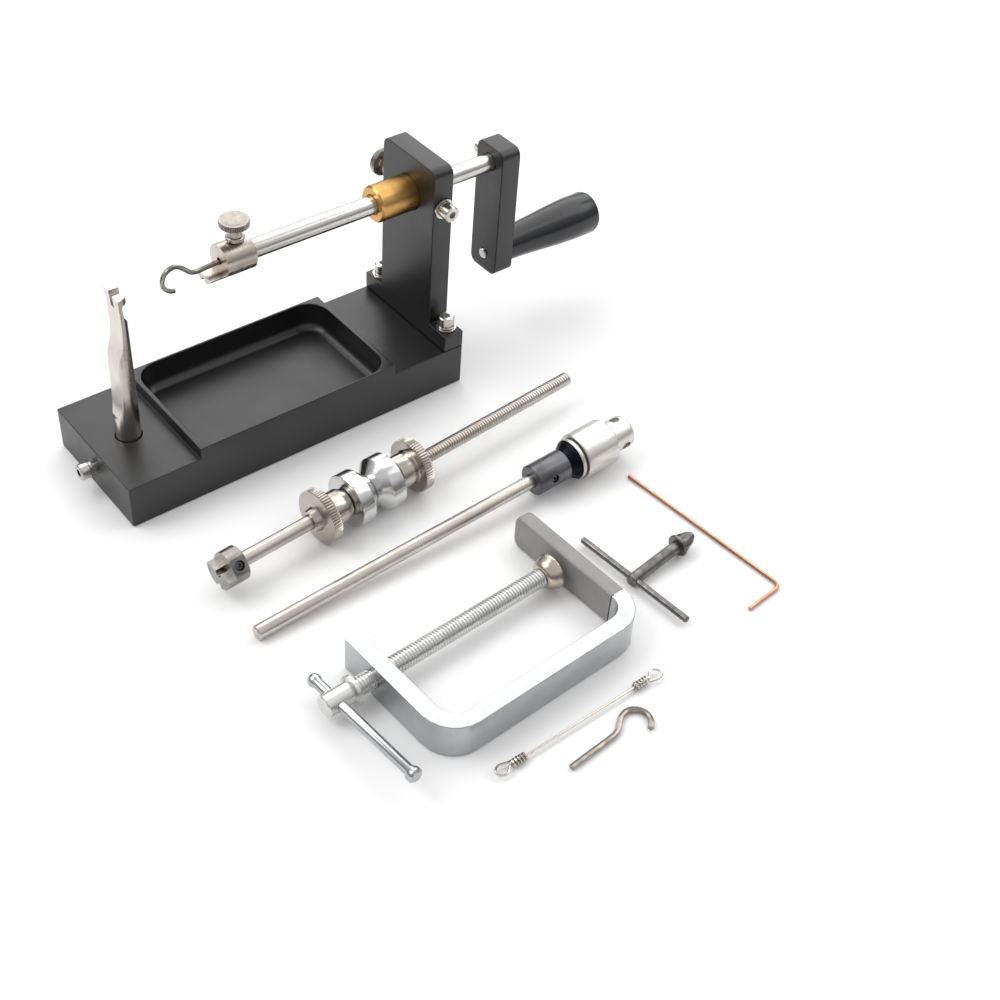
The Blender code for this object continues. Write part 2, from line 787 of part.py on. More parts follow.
def hook_holder(name, diameter, length, tongue, drop, socket, shaft, parent, location, paint):
    """A collar along local Z: its shaft socket opens at Z 0, and a tongue runs on at its far end."""
    radius = diameter / 2
    wire_bore = HOOK_BORE / 2
    shaft_bore = shaft / 2 + BORE_GAP
    body = turned(
        name,
        [
            (wire_bore, length + tongue),
            (radius, length + tongue),
            (radius, SOFT_EDGE),
            (radius - SOFT_EDGE, 0),
            (shaft_bore, 0),
            (shaft_bore, socket),
            (wire_bore, socket),
        ],
        paint,
    )
    place(body, location, "-X", parent=parent)
    past = radius + OVERCUT
    side_cut = box(
        name + "_side_cutter", (-drop, -past, length), (past, past, length + tongue + OVERCUT), None
    )
    notch_high = NOTCH_DEPTH - radius
    notch = prism(
        name + "_notch_cutter",
        [
            (-past, -1.5 * NOTCH_WIDTH),
            (notch_high, -NOTCH_WIDTH / 2),
            (notch_high, NOTCH_WIDTH / 2),
            (-past, 1.5 * NOTCH_WIDTH),
        ],
        length + tongue - NOTCH_DEPTH, length + tongue + OVERCUT, None,
    )
    for cutter in (side_cut, notch):
        place(cutter, location, "-X", parent=parent)
        boolean(body, cutter)
    return body


# Hook holder, with its tongue below the hook's wire
holder = hook_holder(
    "hook_holder", HOLDER_DIAMETER, HOLDER_LENGTH, HOLDER_TONGUE, HOLDER_TONGUE_DROP, HOLDER_SOCKET,
    SPINDLE_DIAMETER, None, (holder_right, 0, SPINDLE_HEIGHT), "nickel",
)
thumb_x = holder_right - HOLDER_SCREW_PLACE
holder_top = SPINDLE_HEIGHT + HOLDER_DIAMETER / 2
bore(
    holder, "hook_screw_hole_cutter", screw_hole, HOOK_WIRE / 2 - HOOK_SAG - HOLDER_DIAMETER / 2,
    OVERCUT, (thumb_x, 0, holder_top), "Z",
)
thumbscrew(
    "hook_thumbscrew", (thumb_x, 0, holder_top + SEAT_GAP), "Z", THUMB_NECK_HEIGHT,
    HOLDER_DIAMETER / 2 + SEAT_GAP + HOOK_SAG - HOOK_WIRE / 2 - BORE_GAP,
)

# Hook: a straight shank, a dip, then a round bend that opens downwards
holder_face = holder_right - HOLDER_LENGTH
hook_middle = (holder_face - HOOK_REACH, -0.7 * HOOK_DIP)
hook_points = [(thumb_x + HOOK_WIRE, -HOOK_SAG), (holder_face - 0.19 * HOOK_LEAD, -HOOK_SAG)]
for share, dips in ((0.39, -0.7), (0.575, -1), (0.755, -0.7), (0.88, 0.6), (1, 2.6)):
    hook_points.append((holder_face - share * HOOK_LEAD, dips * HOOK_DIP))
for step in range(11):
    angle = math.radians(78 + 187 * step / 10)
    hook_points.append((
        hook_middle[0] + HOOK_BEND_RADIUS * math.cos(angle),
        hook_middle[1] + HOOK_BEND_RADIUS * math.sin(angle),
    ))
hook = wire(
    "hook",
    [(x - thumb_x, 0, z) for x, z in [hook_points[0]] + smooth_curve(hook_points[1:], 2)],
    HOOK_WIRE,
    "steel",
)
hook.location = (thumb_x, 0, SPINDLE_HEIGHT)

# Crank arm, its clamp screw, the handle bolt and the handle
half_crank = CRANK_WIDTH / 2
crank_top = SPINDLE_HEIGHT + CRANK_ABOVE_SPINDLE
crank_low = crank_top - CRANK_LENGTH
arm = prism(
    "crank_arm",
    [
        (y, z - SPINDLE_HEIGHT)
        for y, z in rounded_rectangle(
            -half_crank, half_crank, crank_low, crank_top, CRANK_CORNER_RADIUS
        )
    ],
    0,
    CRANK_THICKNESS,
    "anodised",
)
arm.rotation_euler = Matrix(((0, 0, 1), (1, 0, 0), (0, 1, 0))).to_euler()
arm.location = (crank_left, 0, SPINDLE_HEIGHT)
edge_break(arm, EDGE_BREAK, angle=50)
bore(
    arm, "arm_bore_cutter", SPINDLE_DIAMETER + 2 * BORE_GAP, -OVERCUT, CRANK_THICKNESS + OVERCUT,
    (crank_left, 0, SPINDLE_HEIGHT), "X", sides=ROUND_SIDES,
)
bore(
    arm, "handle_bolt_hole_cutter", HANDLE_BOLT_DIAMETER + 2 * BORE_GAP, -OVERCUT,
    CRANK_THICKNESS + OVERCUT, (crank_left, 0, SPINDLE_HEIGHT - CRANK_THROW), "X",
)
arm_middle = crank_left + CRANK_THICKNESS / 2
bore(
    arm, "arm_screw_hole_cutter", screw_hole, -half_crank, OVERCUT,
    (arm_middle, half_crank, SPINDLE_HEIGHT), "Y",
)
cap_screw(
    "arm_screw", (arm_middle, half_crank + SEAT_GAP, SPINDLE_HEIGHT), "Y",
    half_crank + SEAT_GAP - SPINDLE_DIAMETER / 2 - BORE_GAP,
)
handle_z = SPINDLE_HEIGHT - CRANK_THROW
bolt_radius = HANDLE_BOLT_DIAMETER / 2
bolt = turned(
    "handle_bolt",
    [
        (0, CRANK_THICKNESS + HANDLE_BOLT_REACH),
        (bolt_radius, CRANK_THICKNESS + HANDLE_BOLT_REACH),
        (bolt_radius, SOFT_EDGE - BOLT_PROUD),
        (bolt_radius - SOFT_EDGE, -BOLT_PROUD),
        (0, -BOLT_PROUD),
    ],
    "steel",
    SMALL_SIDES,
)
place(bolt, (crank_left, 0, handle_z), "X")
handle_left = crank_left + CRANK_THICKNESS + FACE_GAP
root = HANDLE_ROOT_DIAMETER / 2
end = HANDLE_END_DIAMETER / 2
handle_bore = bolt_radius + RUN_GAP
belly = end - root
handle_profile = [(0, HANDLE_LENGTH)]
for step in range(3):
    angle = math.radians(45 * step)
    handle_profile.append((
        end - HANDLE_END_RADIUS * (1 - math.sin(angle)),
        HANDLE_LENGTH - HANDLE_END_RADIUS * (1 - math.cos(angle)),
    ))
for share in (0.75, 0.56, 0.38, 0.20, 0.08):
    swell = math.sin(math.pi / 2 * min(1, share / 0.85)) ** 2
    handle_profile.append((root + belly * swell, HANDLE_LENGTH * share))
handle_profile += [
    (root, SOFT_EDGE),
    (root - SOFT_EDGE, 0),
    (handle_bore, 0),
    (handle_bore, HANDLE_BOLT_REACH + SCREW_TIP_ROOM),
    (0, HANDLE_BOLT_REACH + SCREW_TIP_ROOM),
]
handle = turned("handle", handle_profile, "handle_black")
place(handle, (handle_left, 0, handle_z), "X")

# Line post: a round pin, cut away on its left, with a lipped and slotted head
post_radius = POST_DIAMETER / 2
post_low = PAD_HEIGHT - POST_SOCKET_DEPTH + FACE_GAP
post = turned(
    "line_post",
    [
        (0, POST_TOP),
        (POST_HEAD_DIAMETER / 2, POST_TOP),
        (POST_HEAD_DIAMETER / 2, POST_LIP_LOW),
        (post_radius, POST_LIP_LOW),
        (post_radius, post_low + SOFT_EDGE),
        (post_radius - SOFT_EDGE, post_low),
        (0, post_low),
    ],
    "steel",
)
place(post, (POST_X, 0, 0))
left_face = [
    (-0.0060, 0.0265),
    (-0.0050, 0.0295),
    (-0.0034, 0.0340),
    (-0.0029, 0.0410),
    (-0.0027, 0.0480),
    (-0.0027, 0.0550),
    (-0.0022, 0.0600),
    (-0.0007, 0.0640),
    (0.0003, 0.0680),
    (0.0006, 0.0740),
    (0.0006, 0.0800),
    (0.0003, 0.0850),
    (-0.0002, POST_TOP + OVERCUT),
]
right_face = [
    (POST_LIP_REACH, POST_TOP + OVERCUT),
    (POST_LIP_REACH, POST_LIP_LOW),
    (0.0022, POST_LIP_LOW - 0.0006),
    (0.0020, POST_LIP_LOW - 0.0022),
    (0.0024, POST_LIP_LOW - 0.0058),
    (0.0038, POST_LIP_LOW - 0.0080),
    (post_radius, POST_LIP_LOW - 0.0122),
    (post_radius + OVERCUT, POST_LIP_LOW - 0.0122),
]
post_outline = [(-post_radius - OVERCUT, 0.0262)]
post_outline += smooth_curve(left_face, 2)
post_outline += right_face
post_outline += [
    (post_radius + OVERCUT, post_low - OVERCUT),
    (-post_radius - OVERCUT, post_low - OVERCUT),
]
half_deep = POST_HEAD_DIAMETER / 2 + OVERCUT
post_shape = prism("post_shape_cutter", post_outline, -half_deep, half_deep, None)
post_shape.rotation_euler = (math.pi / 2, 0, 0)
post_shape.location = (POST_X, 0, 0)
boolean(post, post_shape, "INTERSECT")
half_slot = POST_SLOT_WIDTH / 2
front_drop = box(
    "post_front_cutter",
    (-half_deep, -half_deep, POST_TOP - POST_FRONT_DROP),
    (half_deep, 0, POST_TOP + OVERCUT),
    None,
)
front_drop.location = (POST_X, 0, 0)
boolean(post, front_drop)
slot = box(
    "post_slot_cutter",
    (-half_deep, -half_slot, POST_SLOT_FLOOR),
    (half_deep, half_slot, POST_TOP + OVERCUT),
    None,
)
slot.location = (POST_X, 0, 0)
boolean(post, slot)

# Screw that clamps the post, left a little undone
level = half_length + POST_SCREW_STANDOFF
spring_washer("post_screw_washer", (-level, 0, POST_SCREW_HEIGHT), "-X")
level += SPRING_WASHER_THICKNESS + SEAT_GAP
under_head = level + POST_X - post_radius - BORE_GAP - POST_SCREW_STANDOFF
cap_screw("post_screw", (-level, 0, POST_SCREW_HEIGHT), "-X", under_head)

# Mandrel
nut_radius = NUT_DIAMETER / 2
mandrel = empty("mandrel_place", (MANDREL_X, MANDREL_Y, nut_radius), MANDREL_TURN)
rod_start = COLLAR_TONGUE + COLLAR_LENGTH - COLLAR_SOCKET + BORE_GAP
mandrel_rod = turned(
    "mandrel_rod", rod_profile(MANDREL_DIAMETER / 2, MANDREL_LENGTH - rod_start, SOFT_EDGE), "nickel"
)
place(mandrel_rod, (rod_start, 0, 0), "X", parent=mandrel)
collar = hook_holder(
    "mandrel_collar", COLLAR_DIAMETER, COLLAR_LENGTH, COLLAR_TONGUE, -0.0005, COLLAR_SOCKET,
    MANDREL_DIAMETER, mandrel, (COLLAR_LENGTH + COLLAR_TONGUE, 0, 0), "nickel",
)
collar_at = Vector((COLLAR_TONGUE + COLLAR_LENGTH / 2, 0, 0))
facing = Matrix.Rotation(math.radians(90 - COLLAR_SCREW_ANGLE), 3, "X")
flat_height = COLLAR_DIAMETER / 2 - COLLAR_FLAT
past = COLLAR_DIAMETER
collar_flat = box("collar_flat_cutter", (-past, -past, flat_height), (past, past, past), None)
screw_hole_cutter = turned(
    "collar_screw_hole_cutter", rod_profile(SET_SCREW_DIAMETER / 2 + BORE_GAP, past), None, SMALL_SIDES
)
for cutter in (collar_flat, screw_hole_cutter):
    cutter.matrix_local = Matrix.Translation(collar_at) @ facing.to_4x4()
    cutter.parent = mandrel
    boolean(collar, cutter)


def set_screw(name, diameter, top, low, parent, at, turn):
    """A headless screw along local Z between low and top, with a hex socket."""
    radius = diameter / 2
    screw = turned(
        name,
        [
            (0, top),
            (radius - SOFT_EDGE, top),
            (radius, top - SOFT_EDGE),
            (radius, low + SOFT_EDGE),
            (radius - SOFT_EDGE, low),
            (0, low),
        ],
        "black_oxide",
        SMALL_SIDES,
    )
    socket = hexagon(radius)
    cutter = prism(name + "_socket_cutter", socket, top - SET_SCREW_SOCKET, top + OVERCUT, None)
    for obj in (screw, cutter):
        obj.matrix_local = Matrix.Translation(at) @ turn.to_4x4()
        obj.parent = parent
    boolean(screw, cutter)
    return screw


set_screw(
    "collar_set_screw", SET_SCREW_DIAMETER, flat_height - SET_SCREW_SUNK,
    MANDREL_DIAMETER / 2 + BORE_GAP, mandrel, collar_at, facing,
)


def knurled_nut(name, location, axis):
    """Rim from local Z 0 up, its long hub beyond it and a short hub below."""
    hub = NUT_HUB_DIAMETER / 2
    inner = MANDREL_DIAMETER / 2 + BORE_GAP
    body = turned(
        name + "_hub",
        [
            (inner, NUT_RIM + NUT_HUB),
            (hub - 0.0020, NUT_RIM + NUT_HUB),
            (hub - 0.0010, NUT_RIM + NUT_HUB - 0.0008),
            (hub - 0.0008, NUT_RIM + NUT_HUB - 0.0022),
            (hub, NUT_RIM + NUT_HUB - 0.0026),
            (hub, NUT_RIM + 0.0008),
            (hub + 0.0004, NUT_RIM - 0.0006),
            (hub * 0.75, -SEAT_GAP),
            (hub * 0.66, -NUT_BACK_HUB),
            (inner, -NUT_BACK_HUB),
        ],
        None,
        SMALL_SIDES + 4,
    )
    place(body, location, axis, parent=mandrel)
    rim = knurled_rim(name, nut_radius, 0, NUT_RIM, NUT_TEETH, "nickel")
    place(rim, location, axis, parent=mandrel)
    bore(
        rim, name + "_bore", 2 * (inner + BORE_GAP), -OVERCUT, NUT_RIM + OVERCUT, location, axis,
        parent=mandrel,
    )
    boolean(rim, body, "UNION")
    return rim


def cone(name, location, axis):
    """A cone with its widest band at local Z 0 and its nose beyond."""
    inner = MANDREL_DIAMETER / 2 + BORE_GAP
    outer = CONE_DIAMETER / 2
    nose = CONE_NOSE_DIAMETER / 2
    body = turned(
        name,
        [
            (inner, CONE_LENGTH),
            (nose, CONE_LENGTH),
            (outer - SOFT_EDGE, CONE_BAND + SOFT_EDGE),
            (outer, CONE_BAND),
            (outer, SOFT_EDGE),
            (outer - SOFT_EDGE, 0),
            (inner, 0),
        ],
        "chrome",
    )
    return place(body, location, axis, parent=mandrel)


waist = CONES_AT + CONE_LENGTH + 2 * SEAT_GAP
knurled_nut("inner_nut", (CONES_AT - NUT_HUB - NUT_RIM, 0, 0), "X")
cone("inner_cone", (CONES_AT + SEAT_GAP, 0, 0), "X")
cone("outer_cone", (waist + CONE_LENGTH, 0, 0), "-X")
knurled_nut("outer_nut", (waist + CONE_LENGTH + SEAT_GAP + NUT_HUB + NUT_RIM, 0, 0), "-X")

# Chuck on its shaft: the rod's free end and the sleeve both rest on the table
sleeve_radius = CHUCK_SLEEVE_DIAMETER / 2
chuck_rod_radius = CHUCK_ROD_DIAMETER / 2
coupling_left = CHUCK_ROD_LENGTH - COUPLING_GRIP
sleeve_rest = coupling_left + COUPLING_LENGTH + CHUCK_BACK + SLEEVE_EDGE
chuck_tilt = math.degrees(math.asin((sleeve_radius - chuck_rod_radius) / sleeve_rest))
chuck = empty("chuck_place", (CHUCK_X, CHUCK_Y, chuck_rod_radius), CHUCK_TURN, -chuck_tilt)
chuck_rod = turned(
    "chuck_rod", rod_profile(chuck_rod_radius, CHUCK_ROD_LENGTH, SOFT_EDGE), "steel"
)
place(chuck_rod, (0, 0, 0), "X", parent=chuck)
coupling_radius = COUPLING_DIAMETER / 2
coupling_bore = chuck_rod_radius + BORE_GAP
shank_radius = CHUCK_SHANK_DIAMETER / 2
shank_start = COUPLING_GRIP + COUPLING_WEB
shank_reach = COUPLING_LENGTH - shank_start - BORE_GAP
coupling = turned(
    "chuck_coupling",
    [
        (shank_radius + BORE_GAP, COUPLING_LENGTH),
        (coupling_radius - SOFT_EDGE, COUPLING_LENGTH),
        (coupling_radius, COUPLING_LENGTH - SOFT_EDGE),
        (coupling_radius, SOFT_EDGE),
        (coupling_radius - SOFT_EDGE, 0),
        (coupling_bore, 0),
        (coupling_bore, COUPLING_GRIP + BORE_GAP),
        (0, COUPLING_GRIP + BORE_GAP),
        (0, shank_start),
        (shank_radius + BORE_GAP, shank_start),
    ],
    "black_oxide",
)
place(coupling, (coupling_left, 0, 0), "X", parent=chuck)
coupling_screw_at = Vector((coupling_left + COUPLING_SCREW_PLACE, 0, 0))
coupling_turn = Matrix.Rotation(math.radians(90 - COUPLING_SCREW_ANGLE), 3, "X")
coupling_hole = turned(
    "coupling_hole_cutter", rod_profile(COUPLING_SCREW_DIAMETER / 2 + BORE_GAP, COUPLING_DIAMETER),
    None, SMALL_SIDES,
)
hole_start = Matrix.Translation((0, 0, shank_radius - 5 * BORE_GAP))
coupling_hole.matrix_local = (
    Matrix.Translation(coupling_screw_at) @ coupling_turn.to_4x4() @ hole_start
)
coupling_hole.parent = chuck
boolean(coupling, coupling_hole)
set_screw(
    "coupling_set_screw", COUPLING_SCREW_DIAMETER, coupling_radius - SET_SCREW_SUNK,
    shank_radius + BORE_GAP, chuck, coupling_screw_at, coupling_turn,
)

# Chuck body: shank, black back, ring, core under the sleeve and nose
body_left = coupling_left + COUPLING_LENGTH
sleeve_left = body_left + CHUCK_BACK
sleeve_right = sleeve_left + CHUCK_SLEEVE_LENGTH
nose_radius = CHUCK_NOSE_DIAMETER / 2
core_radius = nose_radius - CHUCK_NOSE_STEP
body_length = sleeve_right + CHUCK_NOSE_LENGTH - body_left
jaw_bore = CHUCK_BORE / 2
chuck_body = turned(
    "chuck_body",
    [
        (jaw_bore, body_length),
        (nose_radius - 0.0016, body_length),
        (nose_radius - 0.0004, body_length - 0.0006),
        (nose_radius, body_length - 0.0016),
        (nose_radius, CHUCK_BACK + CHUCK_SLEEVE_LENGTH + FACE_GAP),
        (core_radius, CHUCK_BACK + CHUCK_SLEEVE_LENGTH + FACE_GAP),
        (core_radius, CHUCK_BACK - 0.0003),
        (sleeve_radius - 0.0012, CHUCK_BACK - 0.0006),
        (sleeve_radius - 0.0010, CHUCK_BACK - 0.0018),
        (sleeve_radius - 0.0024, CHUCK_BACK - 0.0040),
        (coupling_radius + 0.0004, CHUCK_BACK - 0.0044),
        (coupling_radius - 0.0008, SEAT_GAP),
        (shank_radius, SEAT_GAP),
        (shank_radius, -shank_reach),
        (0, -shank_reach),
        (0, body_length - CHUCK_BORE_DEPTH),
        (jaw_bore, body_length - CHUCK_BORE_DEPTH),
    ],
    "steel",
    24,
)
place(chuck_body, (body_left, 0, 0), "X", parent=chuck)
for index in range(3):
    hole_profile = rod_profile(CHUCK_KEY_HOLE / 2, nose_radius)
    hole = turned(f"key_hole_{index}_cutter", hole_profile, None, SMALL_SIDES - 4)
    turn = Matrix.Rotation(math.radians(CHUCK_KEY_HOLE_ANGLE + 120 * index), 3, "X")
    centre = Vector((sleeve_right + CHUCK_KEY_HOLE_PLACE, 0, 0))
    centre += turn @ Vector((0, 0, nose_radius - CHUCK_KEY_HOLE_DEPTH))
    hole.matrix_local = Matrix.Translation(centre) @ turn.to_4x4()
    hole.parent = chuck
    boolean(chuck_body, hole)

sleeve_inner = core_radius + RUN_GAP
sleeve = turned(
    "chuck_sleeve",
    [
        (sleeve_inner, CHUCK_SLEEVE_LENGTH),
        (sleeve_radius - SLEEVE_FRONT, CHUCK_SLEEVE_LENGTH),
        (sleeve_radius, CHUCK_SLEEVE_LENGTH - SLEEVE_FRONT),
        (sleeve_radius, SLEEVE_EDGE),
        (sleeve_radius - SLEEVE_EDGE / 2, FACE_GAP),
        (sleeve_inner, FACE_GAP),
    ],
    "steel",
    CHUCK_TEETH * 2,
)
place(sleeve, (sleeve_left, 0, 0), "X", parent=chuck)
tooth_gap = math.pi * CHUCK_SLEEVE_DIAMETER / CHUCK_TEETH * CHUCK_TOOTH_GAP
tooth_size = (2 * CHUCK_TOOTH_HEIGHT, tooth_gap, 2 * CHUCK_TOOTH_LENGTH)
tooth_radius = sleeve_radius
tooth_mesh = bpy.data.meshes.new("sleeve_teeth_cutter")
tooth_shape = bmesh.new()
for index in range(CHUCK_TEETH):
    made = bmesh.ops.create_cube(tooth_shape, size=1.0)["verts"]
    bmesh.ops.scale(tooth_shape, vec=tooth_size, verts=made)
    bmesh.ops.translate(tooth_shape, vec=(tooth_radius, 0, 0), verts=made)
    turn = Matrix.Rotation(math.tau * (index + 0.25) / CHUCK_TEETH, 3, "Z")
    bmesh.ops.rotate(tooth_shape, cent=(0, 0, 0), matrix=turn, verts=made)
tooth_shape.to_mesh(tooth_mesh)
tooth_shape.free()
teeth = add("sleeve_teeth_cutter", tooth_mesh, None)
place(teeth, (sleeve_right, 0, 0), "X", parent=chuck)
boolean(sleeve, teeth)

# Three jaws, closed on one another
jaw_outer = jaw_bore - RUN_GAP
for index in range(3):
    start = 120 * index + JAW_SPLIT
    finish = 120 * (index + 1) - JAW_SPLIT
    arc = []
    for step in range(9):
        angle = math.radians(start + (finish - start) * step / 8)
        arc.append((jaw_outer * math.cos(angle), jaw_outer * math.sin(angle)))
    middle = math.radians((start + finish) / 2)
    arc.append((JAW_POINT * math.cos(middle), JAW_POINT * math.sin(middle)))
    jaw = prism(f"chuck_jaw_{'abc'[index]}", arc, 0, JAW_LENGTH, "steel")
    place(jaw, (body_left + body_length - JAW_LENGTH - JAW_SUNK, 0, 0), "X", parent=chuck)

# Bench clamp, lying on its side
clamp = empty("clamp_place", (CLAMP_X, CLAMP_Y, CLAMP_WIDTH / 2), CLAMP_TURN)
inside_right = CLAMP_JAW_THICKNESS + CLAMP_OPENING
outside_right = inside_right + CLAMP_JAW_THICKNESS
inside_low = -CLAMP_THROAT
outside_low = -CLAMP_THROAT - CLAMP_SPINE_THICKNESS
inner_radius = CLAMP_OUTER_RADIUS - CLAMP_JAW_THICKNESS
frame_outline = [(0, CLAMP_SCREW_JAW_REACH)]
for step in range(7):
    angle = math.radians(180 + 90 * step / 6)
    frame_outline.append((
        CLAMP_OUTER_RADIUS + CLAMP_OUTER_RADIUS * math.cos(angle),
        outside_low + CLAMP_OUTER_RADIUS + CLAMP_OUTER_RADIUS * math.sin(angle),
    ))
for step in range(7):
    angle = math.radians(270 + 90 * step / 6)
    frame_outline.append((
        outside_right - CLAMP_OUTER_RADIUS + CLAMP_OUTER_RADIUS * math.cos(angle),
        outside_low + CLAMP_OUTER_RADIUS + CLAMP_OUTER_RADIUS * math.sin(angle),
    ))
cap_foot = CLAMP_FIXED_JAW_REACH - CLAMP_CAP_LENGTH
shoulder = cap_foot - SEAT_GAP
tongue_step = CLAMP_CAP_WALL + SEAT_GAP
tongue_end = CLAMP_FIXED_JAW_REACH - tongue_step
frame_outline += [
    (outside_right, shoulder),
    (outside_right - tongue_step, shoulder),
    (outside_right - tongue_step, tongue_end),
    (inside_right + tongue_step, tongue_end),
    (inside_right + tongue_step, shoulder),
    (inside_right, shoulder),
]
for step in range(6):
    angle = math.radians(-90 * step / 5)
    frame_outline.append((
        inside_right - inner_radius + inner_radius * math.cos(angle),
        inside_low + inner_radius + inner_radius * math.sin(angle),
    ))
for step in range(6):
    angle = math.radians(-90 - 90 * step / 5)
    frame_outline.append((
        CLAMP_JAW_THICKNESS + inner_radius + inner_radius * math.cos(angle),
        inside_low + inner_radius + inner_radius * math.sin(angle),
    ))
frame_outline.append((CLAMP_JAW_THICKNESS, CLAMP_SCREW_JAW_REACH))
clamp_frame = prism("clamp_frame", frame_outline, -CLAMP_WIDTH / 2, CLAMP_WIDTH / 2, "zinc")
place(clamp_frame, (0, 0, 0), "Z", parent=clamp)
edge_break(clamp_frame, CLAMP_EDGE, angle=50)
corner_arc = [math.radians(22.5 * step) for step in range(5)]
across = Matrix(((0, 0, 1), (1, 0, 0), (0, 1, 0))).to_4x4()


def jaw_side(end, half_width, radius, side):
    """Points (along the jaw, across it) round one corner of a jaw's end."""
    return [
        (end - radius * (1 - math.cos(angle)), side * (half_width - radius * (1 - math.sin(angle))))
        for angle in corner_arc
    ]


tongue_half = CLAMP_WIDTH / 2 - tongue_step
tongue_radius = CLAMP_CORNER_RADIUS - tongue_step
for face, side in (("under", -1), ("top", 1)):
    past = side * (CLAMP_WIDTH / 2 + OVERCUT)
    outline = [(tongue_end + OVERCUT, past)]
    outline += jaw_side(tongue_end, tongue_half, tongue_radius, side)
    outline += [(shoulder, side * tongue_half), (shoulder, past)]
    cutter = prism(
        f"tongue_{face}_cutter", outline, -OVERCUT / 2, CLAMP_JAW_THICKNESS + OVERCUT, None
    )
    cutter.matrix_local = Matrix.Translation((inside_right, 0, 0)) @ across
    cutter.parent = clamp
    boolean(clamp_frame, cutter)
bore(
    clamp_frame, "clamp_screw_hole_cutter", CLAMP_SCREW_DIAMETER + 2 * RUN_GAP, -OVERCUT,
    CLAMP_JAW_THICKNESS + OVERCUT, (0, 0, 0), "X", parent=clamp, sides=ROUND_SIDES,
)

# Soft cap pushed over the fixed jaw
cap_sides = jaw_side(CLAMP_FIXED_JAW_REACH, CLAMP_WIDTH / 2, CLAMP_CORNER_RADIUS, 1)
cap_sides.append((cap_foot - OVERCUT, CLAMP_WIDTH / 2))
cap_outline = cap_sides + [(along, -level) for along, level in reversed(cap_sides)]
jaw_cap = prism("jaw_cap", cap_outline, 0, CLAMP_JAW_THICKNESS, "cap")
jaw_cap.matrix_local = Matrix.Translation((inside_right, 0, 0)) @ across
jaw_cap.parent = clamp
edge_break(jaw_cap, CLAMP_CAP_EDGE, segments=3, angle=50)
cap_half = CLAMP_WIDTH / 2 - CLAMP_CAP_WALL
cap_radius = CLAMP_CORNER_RADIUS - CLAMP_CAP_WALL
cap_sides = jaw_side(CLAMP_FIXED_JAW_REACH - CLAMP_CAP_WALL, cap_half, cap_radius, 1)
cap_sides.append((cap_foot - OVERCUT, cap_half))
cap_outline = cap_sides + [(along, -level) for along, level in reversed(cap_sides)]
cap_pocket = prism(
    "cap_pocket_cutter", cap_outline, CLAMP_CAP_WALL, CLAMP_JAW_THICKNESS - CLAMP_CAP_WALL, None
)
cap_pocket.matrix_local = jaw_cap.matrix_local
cap_pocket.parent = clamp
boolean(jaw_cap, cap_pocket)
cap_end = box(
    "cap_foot_cutter",
    (inside_right - OVERCUT, cap_foot - 2 * OVERCUT, -CLAMP_WIDTH),
    (outside_right + OVERCUT, cap_foot, CLAMP_WIDTH),
    None,
)
cap_end.parent = clamp
boolean(jaw_cap, cap_end)

# Clamp screw: drilled head, flange and thread
head_left = -CLAMP_SCREW_SHOWN - CLAMP_HEAD_LENGTH
thread_radius = CLAMP_SCREW_DIAMETER / 2
head_radius = CLAMP_HEAD_DIAMETER / 2
flange_radius = CLAMP_FLANGE_DIAMETER / 2
pad_left = inside_right - CLAMP_LEFT_OPEN - CLAMP_PAD_LENGTH
tip_length = pad_left - SEAT_GAP - head_left
pin_radius = CLAMP_PIN_DIAMETER / 2
pin_length = CLAMP_PIN_LENGTH
clamp_screw = turned(
    "clamp_screw",
    [
        (0, tip_length + pin_length),
        (pin_radius, tip_length + pin_length),
        (pin_radius, tip_length),
        (thread_radius - SOFT_EDGE, tip_length),
        (thread_radius, tip_length - SOFT_EDGE),
        (thread_radius, CLAMP_HEAD_LENGTH),
        (flange_radius, CLAMP_HEAD_LENGTH),
        (flange_radius, CLAMP_HEAD_LENGTH - 0.0014),
        (head_radius, CLAMP_HEAD_LENGTH - 0.0020),
        (head_radius, SOFT_EDGE),
        (head_radius - SOFT_EDGE, 0),
        (0, 0),
    ],
    "zinc",
    24,
)
place(clamp_screw, (head_left, 0, 0), "X", parent=clamp)
bar_x = head_left + CLAMP_BAR_PLACE
tommy_place = empty("tommy_place", (bar_x, 0, 0))
tommy_place.rotation_euler = (-math.radians(TOMMY_LIFT), 0, 0)
tommy_place.parent = clamp
bore(
    clamp_screw, "tommy_hole_cutter", TOMMY_DIAMETER + 2 * RUN_GAP, -CLAMP_HEAD_DIAMETER,
    CLAMP_HEAD_DIAMETER, (0, 0, 0), "Y", parent=tommy_place,
)
pad_radius = CLAMP_PAD_DIAMETER / 2
dome_length = CLAMP_PAD_LENGTH - CLAMP_PAD_RIM
pad = turned(
    "clamp_pad",
    [
        (0, CLAMP_PAD_LENGTH),
        (pad_radius, CLAMP_PAD_LENGTH),
        (pad_radius, dome_length),
        (pad_radius * 0.95, dome_length * 0.86),
        (pad_radius * 0.89, dome_length * 0.58),
        (pad_radius * 0.79, dome_length * 0.30),
        (pad_radius * 0.68, dome_length * 0.10),
        (CLAMP_PAD_NOSE / 2, 0),
        (pin_radius + RUN_GAP, 0),
        (pin_radius + RUN_GAP, pin_length + BORE_GAP),
        (0, pin_length + BORE_GAP),
    ],
    "nickel",
)
place(pad, (pad_left, 0, 0), "X", parent=clamp)

